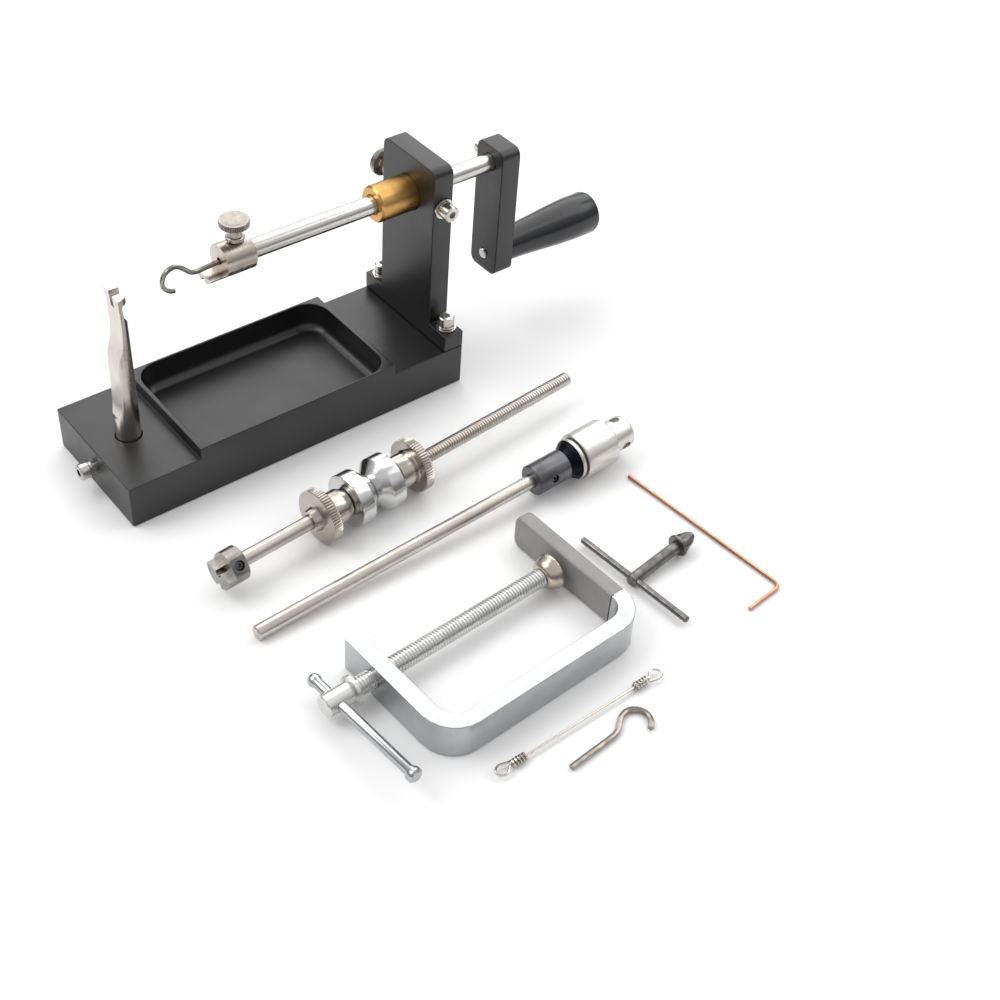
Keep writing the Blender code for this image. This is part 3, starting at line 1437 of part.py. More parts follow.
# Tommy bar: a ball at its far end and a flared near end
tommy_radius = TOMMY_DIAMETER / 2
ball_radius = TOMMY_BALL_DIAMETER / 2
tommy_profile = [(0, ball_radius)]
for degrees in (30, 60, 90, 115):
    angle = math.radians(degrees)
    tommy_profile.append((ball_radius * math.sin(angle), ball_radius * math.cos(angle)))
near_end = ball_radius - TOMMY_LENGTH
tommy_profile += [
    (tommy_radius, -ball_radius * 0.76),
    (tommy_radius, near_end + TOMMY_FLARE_LENGTH),
    (TOMMY_FLARE_DIAMETER / 2, near_end + TOMMY_FLARE_LENGTH * 0.6),
    (TOMMY_FLARE_DIAMETER / 2, near_end + TOMMY_FLARE_LENGTH * 0.2),
    (tommy_radius, near_end),
    (0, near_end),
]
tommy = turned("tommy_bar", tommy_profile, "zinc", 24)
place(tommy, (0, TOMMY_FAR_END, 0), "Y", parent=tommy_place)

# Chuck key, lying on its bar and its flange
key_body_radius = KEY_BODY_DIAMETER / 2
key_flange_radius = KEY_FLANGE_DIAMETER / 2
key_run = KEY_BODY_LENGTH + SOFT_EDGE
key_slope = math.atan2(key_flange_radius - key_body_radius, key_run)
key_height = key_body_radius * math.cos(key_slope) + KEY_OVERHANG * math.sin(key_slope)
key = empty("key_place", (KEY_X, KEY_Y, key_height), KEY_TURN, -math.degrees(key_slope))
pinion_low = KEY_BODY_LENGTH + KEY_FLANGE_THICKNESS
pilot_radius = KEY_PILOT_DIAMETER / 2
key_body = turned(
    "chuck_key",
    [
        (0, pinion_low + KEY_PINION_LENGTH + KEY_PILOT_LENGTH),
        (pilot_radius - SOFT_EDGE, pinion_low + KEY_PINION_LENGTH + KEY_PILOT_LENGTH),
        (pilot_radius, pinion_low + KEY_PINION_LENGTH + KEY_PILOT_LENGTH - SOFT_EDGE),
        (pilot_radius, pinion_low + KEY_PINION_LENGTH),
        (KEY_PINION_DIAMETER / 2 - 0.0016, pinion_low + KEY_PINION_LENGTH),
        (KEY_PINION_DIAMETER / 2, pinion_low + 0.0006),
        (KEY_PINION_DIAMETER / 2, pinion_low),
        (key_flange_radius - SOFT_EDGE, pinion_low),
        (key_flange_radius, pinion_low - SOFT_EDGE),
        (key_flange_radius, KEY_BODY_LENGTH + SOFT_EDGE),
        (key_flange_radius - SOFT_EDGE, KEY_BODY_LENGTH),
        (key_body_radius, KEY_BODY_LENGTH),
        (key_body_radius, SOFT_EDGE),
        (key_body_radius - SOFT_EDGE, 0),
        (0, 0),
    ],
    "black_oxide",
    SMALL_SIDES,
)
place(key_body, (-KEY_OVERHANG, 0, 0), "X", parent=key)
groove_mesh = bpy.data.meshes.new("pinion_cutter")
groove_shape = bmesh.new()
for index in range(KEY_TEETH):
    made = bmesh.ops.create_cube(groove_shape, size=1.0)["verts"]
    bmesh.ops.scale(groove_shape, vec=(0.0026, 0.0016, 0.0070), verts=made)
    bmesh.ops.translate(
        groove_shape, vec=(KEY_PINION_DIAMETER / 2 + 0.0004, 0, pinion_low + 0.0037), verts=made
    )
    turn = Matrix.Rotation(math.tau * index / KEY_TEETH, 3, "Z")
    bmesh.ops.rotate(groove_shape, cent=(0, 0, 0), matrix=turn, verts=made)
groove_shape.to_mesh(groove_mesh)
groove_shape.free()
grooves = add("pinion_cutter", groove_mesh, None)
place(grooves, (-KEY_OVERHANG, 0, 0), "X", parent=key)
boolean(key_body, grooves)
bore(
    key_body, "key_bar_hole_cutter", KEY_BAR_DIAMETER + 2 * RUN_GAP, -KEY_BODY_DIAMETER,
    KEY_BODY_DIAMETER, (0, 0, 0), "Y", parent=key,
)
key_bar = turned(
    "chuck_key_bar", rod_profile(KEY_BAR_DIAMETER / 2, KEY_BAR_LENGTH, SOFT_EDGE), "black_oxide",
    SMALL_SIDES,
)
place(key_bar, (0, -KEY_BAR_LENGTH / 2, 0), "Y", parent=key)

# Hex key: a long arm along Y with a short arm that turns left at its near end
hex_place = empty("hex_key_place", (HEX_KEY_X, HEX_KEY_Y, HEX_KEY_WIDTH / 2), HEX_KEY_TURN)
hex_path = [(0, HEX_KEY_LONG, 0)]
for step in range(7):
    angle = math.radians(-90 * step / 6)
    hex_path.append((
        -HEX_KEY_BEND * (1 - math.cos(angle)),
        HEX_KEY_BEND * (1 + math.sin(angle)),
        0,
    ))
hex_path.append((-HEX_KEY_SHORT, 0, 0))
hex_key = wire("hex_key", hex_path, HEX_KEY_WIDTH * 2 / math.sqrt(3), "copper", 1)
hex_key.parent = hex_place

# Wire sample: a straight wire, wrapped back on itself at a loop on each end
wrap_radius = SAMPLE_WIRE + SAMPLE_WRAP_GAP
wrap_turns = SAMPLE_WRAPS
sample = empty("sample_place", (SAMPLE_X, SAMPLE_Y, wrap_radius + SAMPLE_WIRE / 2), SAMPLE_TURN)
loop_neck = SAMPLE_LOOP_LENGTH
wrap_start = loop_neck + 0.0006


def wrapped_end():
    """Points from the far end of the wraps, through them and the loop, to the straight wire."""
    points = []
    count = wrap_turns * 10
    for k in range(count + 1):
        angle = math.tau * wrap_turns * (1 - k / count)
        points.append((
            wrap_start + SAMPLE_WRAP_PITCH * wrap_turns * (1 - k / count),
            wrap_radius * math.cos(angle),
            wrap_radius * math.sin(angle),
        ))
    half = SAMPLE_LOOP_WIDTH / 2
    loop = [
        (loop_neck - 0.0006, wrap_radius + 0.0003, 0.0),
        (loop_neck - 0.0022, half * 0.92, 0.0),
        (loop_neck * 0.36, half, 0.0),
        (loop_neck * 0.12, half * 0.66, 0.0),
        (0.0, 0.0, 0.0),
        (loop_neck * 0.12, -half * 0.66, 0.0),
        (loop_neck * 0.36, -half, 0.0),
        (loop_neck - 0.0022, -half * 0.80, 0.0),
        (loop_neck - 0.0006, -0.0004, 0.0),
        (loop_neck + 0.0010, 0.0, 0.0),
    ]
    return points + smooth_curve(loop, 2)


left_end = wrapped_end()
right_end = [(SAMPLE_LENGTH - x, -y, z) for x, y, z in reversed(left_end)]
sample_points = left_end + right_end
sample_wire = wire("wire_sample", sample_points, SAMPLE_WIRE, "nickel", 1)
sample_wire.parent = sample


def least_gap(points, diameter):
    """Least clear space between parts of one wire, in mm, beyond three diameters along it."""
    reach = [0.0]
    for a, b in zip(points, points[1:]):
        reach.append(reach[-1] + math.dist(a, b))
    least = 1.0
    for i, a in enumerate(points):
        for j in range(i + 1, len(points)):
            if reach[j] - reach[i] > 3 * diameter:
                least = min(least, math.dist(a, points[j]) - diameter)
    return least * 1000


print(f"wire_sample: least gap to itself {least_gap(sample_points, SAMPLE_WIRE):.2f} mm")

# Spare hook for heavier work
spare = empty("spare_place", (SPARE_X, SPARE_Y, SPARE_WIRE / 2), SPARE_TURN)
spare_points = [(0, 0, 0), (SPARE_SHANK, 0, 0)]
for along, across in (
    (0.19, 0.05), (0.35, 0.16), (0.52, 0.265), (0.75, 0.28), (0.93, 0.16), (1, -0.035),
    (0.94, -0.24), (0.78, -0.375),
):
    spare_points.append((SPARE_SHANK + along * SPARE_BEND, across * SPARE_BEND, 0))
spare_hook = wire(
    "spare_hook", [spare_points[0]] + smooth_curve(spare_points[1:], 3), SPARE_WIRE, "nickel"
)
spare_hook.parent = spare
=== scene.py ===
# %% [markdown]
# # A hand-cranked fly tying station and its loose tools
# The real object is a black anodised tray base with an upright. A crank turns a steel
# spindle that carries a hook, and a slotted post stands at the far end. Around it lie a
# threaded mandrel with two cones, a drill chuck on a rod, a small G-clamp and three hand
# tools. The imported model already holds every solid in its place. This script gives those
# solids smooth surfaces, fine detail and real finishes.

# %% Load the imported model
import math

import bpy
from mathutils import Matrix, Vector
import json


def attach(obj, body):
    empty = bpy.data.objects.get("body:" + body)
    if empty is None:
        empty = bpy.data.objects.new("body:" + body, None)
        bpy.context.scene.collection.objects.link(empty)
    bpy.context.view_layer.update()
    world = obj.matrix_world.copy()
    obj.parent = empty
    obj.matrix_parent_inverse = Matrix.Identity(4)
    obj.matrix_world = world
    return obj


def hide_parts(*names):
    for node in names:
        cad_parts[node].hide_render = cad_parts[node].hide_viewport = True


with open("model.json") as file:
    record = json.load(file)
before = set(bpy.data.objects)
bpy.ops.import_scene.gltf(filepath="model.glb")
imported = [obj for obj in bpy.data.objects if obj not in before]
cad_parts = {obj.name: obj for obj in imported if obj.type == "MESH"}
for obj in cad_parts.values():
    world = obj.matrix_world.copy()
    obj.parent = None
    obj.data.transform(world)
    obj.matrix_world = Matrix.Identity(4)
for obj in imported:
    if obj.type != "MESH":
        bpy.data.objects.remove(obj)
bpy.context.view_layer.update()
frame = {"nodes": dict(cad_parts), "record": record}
nodes = frame["nodes"]
body_of = {n: b for b, ns in frame["record"]["behaviour"]["bodies"].items() for n in ns}
slot_of = {s["node"]: s["material_slot"] for s in frame["record"]["subparts"]}

# %% [markdown]
# ## The camera
# The photograph looks down on the station from the front left. A camera could be placed
# by eye, but the edges of the base give its place exactly, so the numbers here are the
# ones that make those edges fall on their own pixels. The lens is a mild telephoto.

# %% Place the camera
CAMERA_PLACE = (-0.2628, -0.4421, 0.4373)
CAMERA_TURN = math.radians(42.39)
CAMERA_DOWN = math.radians(43.49)
CAMERA_ROLL = math.radians(5.21)
CAMERA_LENS = 54.97

bpy.ops.object.select_all(action="DESELECT")
bpy.ops.object.camera_add()
camera = bpy.context.object
camera.matrix_world = (
    Matrix.Translation(CAMERA_PLACE)
    @ Matrix.Rotation(-CAMERA_TURN, 4, "Z")
    @ Matrix.Rotation(math.pi / 2 - CAMERA_DOWN, 4, "X")
    @ Matrix.Rotation(CAMERA_ROLL, 4, "Z")
)
camera.data.lens = CAMERA_LENS
camera.data.sensor_width = 36
camera.data.clip_start = 0.01
bpy.context.scene.camera = camera
bpy.context.scene.view_settings.view_transform = "Standard"
print("camera at", tuple(round(v, 3) for v in camera.location))

# %% [markdown]
# ## Floor and light
# Polished steel shows little of itself and much of the room, so the room matters as much
# as the finish. A sky of one even white would leave the chrome flat. Here the sky is
# bright overhead and falls to grey at the horizon, as around a light tent on a table. Three
# wide soft lamps give the shadows a direction. The one behind stands where the flat tops
# mirror it, because that is what lifts the black tops above the black sides.

# %% Build the floor and the sky
FLOOR_SIZE = 6.0
FLOOR_DROP = 0.0002
FLOOR_TONE = (0.86, 0.86, 0.86)
FLOOR_ROUGHNESS = 0.9
SKY_STOPS = (
    (0.0, (0.20, 0.20, 0.21)),
    (0.15, (0.38, 0.38, 0.39)),
    (0.50, (1.0, 1.0, 1.0)),
)
SKY_STRENGTH = 0.8


def plain_material(name, color, roughness, metallic=0.0):
    """A new material whose Principled shader holds plain values."""
    made = bpy.data.materials.new(name)
    made.use_nodes = True
    shader = made.node_tree.nodes["Principled BSDF"]
    shader.inputs["Base Color"].default_value = (*color, 1)
    shader.inputs["Roughness"].default_value = roughness
    shader.inputs["Metallic"].default_value = metallic
    return made


bpy.ops.mesh.primitive_plane_add(size=FLOOR_SIZE, location=(0, 0, -FLOOR_DROP))
floor = bpy.context.object
floor.name = "floor"
floor.data.materials.append(plain_material("Pale floor", FLOOR_TONE, FLOOR_ROUGHNESS))

world = bpy.data.worlds.new("Light tent")
bpy.context.scene.world = world
world.use_nodes = True
sky = world.node_tree
direction = sky.nodes.new("ShaderNodeTexCoord")
split = sky.nodes.new("ShaderNodeSeparateXYZ")
ramp = sky.nodes.new("ShaderNodeValToRGB")
stops = ramp.color_ramp.elements
stops[0].position, stops[1].position = SKY_STOPS[0][0], SKY_STOPS[2][0]
stops.new(SKY_STOPS[1][0])
for stop, (place, tone) in zip(stops, SKY_STOPS):
    stop.color = (*tone, 1)
sky.links.new(direction.outputs["Generated"], split.inputs[0])
sky.links.new(split.outputs["Z"], ramp.inputs[0])
sky.links.new(ramp.outputs[0], sky.nodes["Background"].inputs["Color"])
sky.nodes["Background"].inputs["Strength"].default_value = SKY_STRENGTH
print("sky ramp with", len(stops), "stops")

# %% Add the soft lamps
LAMP_AIM = (0.0, -0.06, 0.03)
LAMPS = (
    ("key_lamp", (-0.75, 0.55, 1.15), 0.9, 9.0),
    ("back_lamp", (0.85, 0.98, 1.20), 2.0, 19.0),
    ("fill_lamp", (0.9, -0.35, 0.9), 0.7, 3.0),
)


def soft_lamp(name, place, size, power):
    """A square lamp at a place, turned towards the middle of the tools."""
    bpy.ops.object.light_add(type="AREA", location=place)
    lamp = bpy.context.object
    lamp.name = name
    lamp.data.size = size
    lamp.data.energy = power
    aim = Vector(LAMP_AIM) - Vector(place)
    lamp.rotation_euler = aim.to_track_quat("-Z", "Y").to_euler()
    return lamp


print("lamps:", [soft_lamp(*values).name for values in LAMPS])

# %% [markdown]
# ## Patterns that several finishes share
# Four small shader groups carry the detail. The first draws fine rings round an axis, as
# a lathe leaves them, and the second fine lines along it, as on drawn or brushed bar. The
# third gives soft marks from handling and polishing, and the fourth the fine grain of a
# blasted and anodised surface. Each is a noise texture on object coordinates, so it stays
# with the metal when the camera moves.

# %% A helper for shader groups


def new_group(name, values, output):
    """A node group with a Vector input, named number inputs and one number output."""
    group = bpy.data.node_groups.new(name, "ShaderNodeTree")
    group.interface.new_socket("Vector", in_out="INPUT", socket_type="NodeSocketVector")
    for label, value in values.items():
        made = group.interface.new_socket(label, in_out="INPUT", socket_type="NodeSocketFloat")
        made.default_value = value
    group.interface.new_socket(output, in_out="OUTPUT", socket_type="NodeSocketFloat")
    start = group.nodes.new("NodeGroupInput")
    end = group.nodes.new("NodeGroupOutput")
    return group, start, end


def noise(tree, vector, scale, detail=2.0, roughness=0.5):
    """A noise texture in a node tree, read at the given vector socket."""
    made = tree.nodes.new("ShaderNodeTexNoise")
    made.inputs["Detail"].default_value = detail
    made.inputs["Roughness"].default_value = roughness
    tree.links.new(vector, made.inputs["Vector"])
    if isinstance(scale, (int, float)):
        made.inputs["Scale"].default_value = scale
    else:
        tree.links.new(scale, made.inputs["Scale"])
    return made.outputs["Fac"]


# %% Rings round an axis, and lines along it


def stretched_noise(name, stretch):
    """A group of noise squeezed and drawn out along local X and across it."""
    group, start, end = new_group(name, {"Density": 1.0}, "Height")
    drawn = group.nodes.new("ShaderNodeVectorMath")
    drawn.operation = "MULTIPLY"
    drawn.inputs[1].default_value = stretch
    group.links.new(start.outputs["Vector"], drawn.inputs[0])
    height = noise(group, drawn.outputs[0], start.outputs["Density"], 3.0)
    group.links.new(height, end.inputs["Height"])
    return group


RINGS_STRETCH = (9000, 160, 160)
LINES_STRETCH = (90, 4200, 4200)
rings = stretched_noise("Lathe rings", RINGS_STRETCH)
lines = stretched_noise("Drawn lines", LINES_STRETCH)
print("groups:", rings.name, "and", lines.name)

# %% Marks from handling
MARKS_FROM = 0.38
MARKS_TO = 0.68
marks, start, end = new_group("Handling marks", {"Size": 90.0, "Contrast": 1.0}, "Mask")
cloud = noise(marks, start.outputs["Vector"], start.outputs["Size"], 4.0, 0.6)
spread = marks.nodes.new("ShaderNodeMapRange")
spread.inputs["From Min"].default_value = MARKS_FROM
spread.inputs["From Max"].default_value = MARKS_TO
marks.links.new(cloud, spread.inputs["Value"])
scale_mask = marks.nodes.new("ShaderNodeMath")
scale_mask.operation = "MULTIPLY"
marks.links.new(spread.outputs["Result"], scale_mask.inputs[0])
marks.links.new(start.outputs["Contrast"], scale_mask.inputs[1])
marks.links.new(scale_mask.outputs[0], end.inputs["Mask"])
print("group:", marks.name)

# %% Grain of a blasted surface
grain, start, end = new_group("Blasted grain", {"Size": 4200.0}, "Height")
grain.links.new(
    noise(grain, start.outputs["Vector"], start.outputs["Size"], 2.0, 0.7), end.inputs["Height"]
)
print("group:", grain.name)

# %% [markdown]
# ## Finishes
# Every finish is one Principled shader with two patterns. A surface pattern goes to a Bump
# node and gives the tool lines or the grain. The handling marks vary the colour and the
# roughness a little, so that no face is one flat tone. Metals are metallic with their own
# tint. The black anodised skin is oxide and not bare metal, so it is a dark plain shader.

# %% One function makes each finish
X_AXIS = (1.0, 0.0, 0.0)
MANDREL_AXIS = (0.997093, 0.076197, 0.0)
CHUCK_AXIS = (0.998966, 0.005231, 0.045167)
CLAMP_AXIS = (0.999194, 0.040132, 0.0)
UP_AXIS = (0.0, 0.0, 1.0)
# Where along the chuck's axis the painted shade band lies, on the back hub.
CHUCK_SHADE_FROM = 0.0760
CHUCK_SHADE_TO = 0.0804
BUMP_DISTANCE = 0.0002


def finish(name, light, dark, metallic, rough, pattern, depth, axis=X_AXIS, size=90.0,
           density=1.0, specular=0.5):
    """A material with a pattern of rings or grain, and marks that vary colour and roughness."""
    made = plain_material(name, light, rough[0], metallic)
    tree = made.node_tree
    shader = tree.nodes["Principled BSDF"]
    shader.inputs["Specular IOR Level"].default_value = specular
    place = tree.nodes.new("ShaderNodeTexCoord")
    turn = tree.nodes.new("ShaderNodeMapping")
    turn.vector_type = "TEXTURE"
    turn.inputs["Rotation"].default_value = Vector(axis).to_track_quat("X", "Z").to_euler()
    tree.links.new(place.outputs["Object"], turn.inputs["Vector"])
    here = turn.outputs["Vector"]

    fine = tree.nodes.new("ShaderNodeGroup")
    fine.node_tree = pattern
    if pattern in (rings, lines):
        fine.inputs["Density"].default_value = density
    tree.links.new(here, fine.inputs["Vector"])
    bump = tree.nodes.new("ShaderNodeBump")
    bump.inputs["Strength"].default_value = depth
    bump.inputs["Distance"].default_value = BUMP_DISTANCE
    tree.links.new(fine.outputs["Height"], bump.inputs["Height"])
    tree.links.new(bump.outputs["Normal"], shader.inputs["Normal"])

    touched = tree.nodes.new("ShaderNodeGroup")
    touched.node_tree = marks
    touched.inputs["Size"].default_value = size
    tree.links.new(here, touched.inputs["Vector"])
    tint = tree.nodes.new("ShaderNodeMix")
    tint.data_type = "RGBA"
    tint.inputs["A"].default_value = (*light, 1)
    tint.inputs["B"].default_value = (*dark, 1)
    tree.links.new(touched.outputs["Mask"], tint.inputs["Factor"])
    tree.links.new(tint.outputs["Result"], shader.inputs["Base Color"])
    gloss = tree.nodes.new("ShaderNodeMapRange")
    gloss.inputs["To Min"].default_value = rough[0]
    gloss.inputs["To Max"].default_value = rough[1]
    tree.links.new(touched.outputs["Mask"], gloss.inputs["Value"])
    tree.links.new(gloss.outputs["Result"], shader.inputs["Roughness"])
    return made


# %% A painted dark band along an axis, for painted shade and painted dark reflection


def painted_shade_band(made, axis, low, high, color):
    """Paints a finish dark between two places along its axis: painted shade and a painted dark
    reflection on the chuck's back hub, not the steel's own colour.
    """
    tree = made.node_tree
    shader = tree.nodes["Principled BSDF"]
    place = tree.nodes.new("ShaderNodeTexCoord")
    along = tree.nodes.new("ShaderNodeVectorMath")
    along.operation = "DOT_PRODUCT"
    along.inputs[1].default_value = axis
    tree.links.new(place.outputs["Object"], along.inputs[0])
    inside = tree.nodes.new("ShaderNodeMath")
    inside.operation = "COMPARE"
    inside.inputs[1].default_value = (low + high) / 2
    inside.inputs[2].default_value = (high - low) / 2
    tree.links.new(along.outputs["Value"], inside.inputs[0])
    before = shader.inputs["Base Color"].links[0].from_socket
    tint = tree.nodes.new("ShaderNodeMix")
    tint.data_type = "RGBA"
    tint.inputs["B"].default_value = (*color, 1)
    tree.links.new(inside.outputs[0], tint.inputs["Factor"])
    tree.links.new(before, tint.inputs["A"])
    tree.links.new(tint.outputs["Result"], shader.inputs["Base Color"])
    return made


# %% Make the finishes, one for each slot of the record
FINISHES = {
    "anodised": finish(
        "Black anodised", (0.0055, 0.0058, 0.0065), (0.0040, 0.0042, 0.0046), 0.0,
        (0.33, 0.40), grain, 0.08, size=60.0, specular=0.62),
    "handle_black": finish(
        "Black handle", (0.010, 0.011, 0.013), (0.007, 0.007, 0.009), 0.0, (0.22, 0.28),
        rings, 0.04),
    "brass": finish(
        "Turned brass", (0.64, 0.38, 0.13), (0.46, 0.26, 0.08), 1.0, (0.26, 0.36),
        rings, 0.20),
    "screw_steel": finish(
        "Plated screws", (0.62, 0.60, 0.57), (0.48, 0.46, 0.43), 1.0, (0.18, 0.30),
        rings, 0.10, UP_AXIS, 300.0),
    "spindle_steel": finish(
        "Ground spindle", (0.62, 0.60, 0.57), (0.54, 0.52, 0.49), 1.0, (0.22, 0.28),
        lines, 0.03),
    "holder_steel": finish(
        "Turned holder", (0.56, 0.50, 0.45), (0.42, 0.37, 0.32), 1.0, (0.22, 0.32),
        rings, 0.16),
    "hook_steel": finish(
        "Hook wire", (0.36, 0.32, 0.28), (0.24, 0.21, 0.18), 1.0, (0.20, 0.32),
        grain, 0.05, size=300.0),
    "post_steel": finish(
        "Ground post", (0.62, 0.58, 0.53), (0.56, 0.52, 0.46), 1.0, (0.22, 0.28),
        lines, 0.05, UP_AXIS),
    "knurled_steel": finish(
        "Knurled steel", (0.40, 0.365, 0.33), (0.31, 0.28, 0.245), 1.0, (0.26, 0.36),
        grain, 0.05, size=300.0),
    "collar_steel": finish(
        "Turned collar", (0.34, 0.32, 0.30), (0.20, 0.19, 0.18), 1.0, (0.20, 0.32),
        rings, 0.18, MANDREL_AXIS),
    "black_oxide": finish(
        "Black oxide", (0.150, 0.150, 0.155), (0.090, 0.090, 0.095), 1.0, (0.26, 0.36),
        lines, 0.16, CHUCK_AXIS),
    "shaft_steel": finish(
        "Plated rod", (0.58, 0.54, 0.50), (0.48, 0.44, 0.40), 1.0, (0.26, 0.34),
        lines, 0.03, CHUCK_AXIS),
    "nut_steel": finish(
        "Plated nut", (0.52, 0.475, 0.43), (0.42, 0.38, 0.34), 1.0, (0.14, 0.24),
        rings, 0.06, MANDREL_AXIS),
    "cone_chrome": finish(
        "Polished cone", (0.68, 0.68, 0.68), (0.58, 0.58, 0.58), 1.0, (0.14, 0.20),
        rings, 0.08, MANDREL_AXIS),
    # The chuck's back hub gets a painted dark band: painted shade and painted dark reflection,
    # not its own colour.
    "chuck_steel": painted_shade_band(
        finish(
            "Brushed chuck", (0.70, 0.68, 0.65), (0.60, 0.58, 0.55), 1.0, (0.32, 0.40),
            lines, 0.18, CHUCK_AXIS),
        CHUCK_AXIS, CHUCK_SHADE_FROM, CHUCK_SHADE_TO, (0.010, 0.012, 0.015)),
    "clamp_steel": finish(
        "Plated clamp", (0.47, 0.475, 0.485), (0.42, 0.425, 0.435), 1.0, (0.18, 0.26),
        grain, 0.02, CLAMP_AXIS, 120.0),
    "clamp_thread": finish(
        "Plated thread", (0.72, 0.72, 0.71), (0.62, 0.62, 0.61), 1.0, (0.24, 0.34),
        grain, 0.03, CLAMP_AXIS),
    "pad_nickel": finish(
        "Warm nickel pad", (0.56, 0.49, 0.42), (0.44, 0.37, 0.31), 1.0, (0.18, 0.28),
        rings, 0.05, CLAMP_AXIS),
    "cap_grey": finish(
        "Soft grey cap", (0.25, 0.245, 0.24), (0.22, 0.215, 0.21), 0.0, (0.28, 0.36),
        grain, 0.06, CLAMP_AXIS, 80.0),
    "key_steel": finish(
        "Dark key steel", (0.20, 0.19, 0.19), (0.11, 0.10, 0.10), 1.0, (0.28, 0.42),
        grain, 0.10, size=300.0),
    "copper": finish(
        "Copper hex key", (0.60, 0.33, 0.22), (0.46, 0.23, 0.14), 1.0, (0.26, 0.38),
        grain, 0.05, size=300.0),
    "wire_steel": finish(
        "Wire", (0.62, 0.57, 0.51), (0.48, 0.43, 0.38), 1.0, (0.16, 0.26),
        grain, 0.03, size=400.0),
}
for name, node in nodes.items():
    node.data.materials.clear()
    node.data.materials.append(FINISHES[slot_of[name]])
print(len(FINISHES), "finishes on", len(nodes), "solids")

# %% [markdown]
# ## Smooth skins for the plain solids
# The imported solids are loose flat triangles, which would show as facets on a polished bar.
# They could be modelled again, but their shapes are right, so each gets a copy instead:
# its points are merged, and its faces are shaded smooth up to a set angle, so that round
# sides turn round while real corners stay sharp.

# %% Helpers that copy a solid and smooth it
SMOOTH_ANGLE = 32
SOLID_MERGE = 0.000002
FLAT_WITHIN = 0.4
ROUNDED_EDGES = ("base", "upright", "crank_arm", "clamp_frame", "jaw_cap")
ROUNDED_ANGLE = 50
CLAMP_PAD_ANGLE = 44


def copied(node):
    """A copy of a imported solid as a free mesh, with its points merged into clean faces."""
    bpy.ops.object.select_all(action="DESELECT")
    source = nodes[node]
    source.select_set(True)
    bpy.context.view_layer.objects.active = source
    bpy.ops.object.duplicate()
    piece = bpy.context.object
    piece.name = node + "_skin"
    for label in list(piece.keys()):
        del piece[label]
    piece.parent = None
    bpy.ops.object.mode_set(mode="EDIT")
    bpy.ops.mesh.select_all(action="SELECT")
    bpy.ops.mesh.remove_doubles(threshold=SOLID_MERGE)
    bpy.ops.mesh.dissolve_limited(angle_limit=math.radians(FLAT_WITHIN))
    bpy.ops.object.mode_set(mode="OBJECT")
    bpy.ops.mesh.customdata_custom_splitnormals_clear()
    return piece


def skin(node, angle=SMOOTH_ANGLE):
    """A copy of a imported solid, shaded smooth up to an angle, that stands for it."""
    piece = copied(node)
    bpy.ops.object.shade_smooth_by_angle(angle=math.radians(angle))
    if node in ROUNDED_EDGES:
        weigh = piece.modifiers.new("Flat faces stay flat", "WEIGHTED_NORMAL")
        weigh.weight = 100
        weigh.keep_sharp = True
        bpy.ops.object.modifier_apply(modifier=weigh.name)
    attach(piece, body_of[node])
    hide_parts(node)
    return piece


# %% Copy the solids whose own shape is shown
SMOOTH_ANGLES = dict.fromkeys(ROUNDED_EDGES, ROUNDED_ANGLE)
SMOOTH_ANGLES["clamp_pad"] = CLAMP_PAD_ANGLE
MODELLED = (
    "inner_nut", "outer_nut", "inner_cone", "outer_cone", "hook_thumbscrew",
    "brake_thumbscrew", "mandrel_rod", "clamp_screw",
)
for name in sorted(nodes):
    if name not in MODELLED:
        skin(name, SMOOTH_ANGLES.get(name, SMOOTH_ANGLE))

# %% [markdown]
# ## Turned pieces with their fine detail
# Nuts, thumbscrews and cones are lathe work. Each starts as a circle that is extruded from
# point to point of its profile, as a lathe tool follows the outline. A boolean of cylinders
# would give the same outline, but not the even columns of points that the knurling needs:
# there, every third column of the rim is pulled in, which leaves a groove between two crests.

# %% Helpers for turned pieces
MODEL_MERGE = 0.000001
COLUMNS_A_TOOTH = 3
RIM_SHARE = 0.9


def pick(piece):
    """Makes a piece the only selected and the active object."""
    bpy.ops.object.select_all(action="DESELECT")
    piece.select_set(True)
    bpy.context.view_layer.objects.active = piece


def turned(name, profile, segments=96):
    """A piece turned about local Z. A profile that ends at its first point has a bore."""
    bpy.ops.object.select_all(action="DESELECT")
    radius, height = profile[0]
    bpy.ops.mesh.primitive_circle_add(vertices=segments, radius=radius)
    piece = bpy.context.object
    piece.name = name
    bpy.ops.object.mode_set(mode="EDIT")
    bpy.ops.mesh.select_all(action="SELECT")
    bpy.ops.transform.translate(value=(0, 0, height))
    for next_radius, next_height in profile[1:]:
        bpy.ops.mesh.extrude_region_move(
            TRANSFORM_OT_translate={"value": (0, 0, next_height - height)}
        )
        share = next_radius / radius
        bpy.ops.transform.resize(value=(share, share, 1))
        radius, height = next_radius, next_height
    if profile[0] == profile[-1]:
        bpy.ops.mesh.select_all(action="SELECT")
        bpy.ops.mesh.remove_doubles(threshold=MODEL_MERGE)
    else:
        bpy.ops.mesh.edge_face_add()
        bpy.ops.mesh.select_all(action="DESELECT")
        bpy.ops.mesh.select_non_manifold()
        bpy.ops.mesh.edge_face_add()
    bpy.ops.mesh.select_all(action="SELECT")
    bpy.ops.mesh.normals_make_consistent(inside=False)
    bpy.ops.object.mode_set(mode="OBJECT")
    return piece


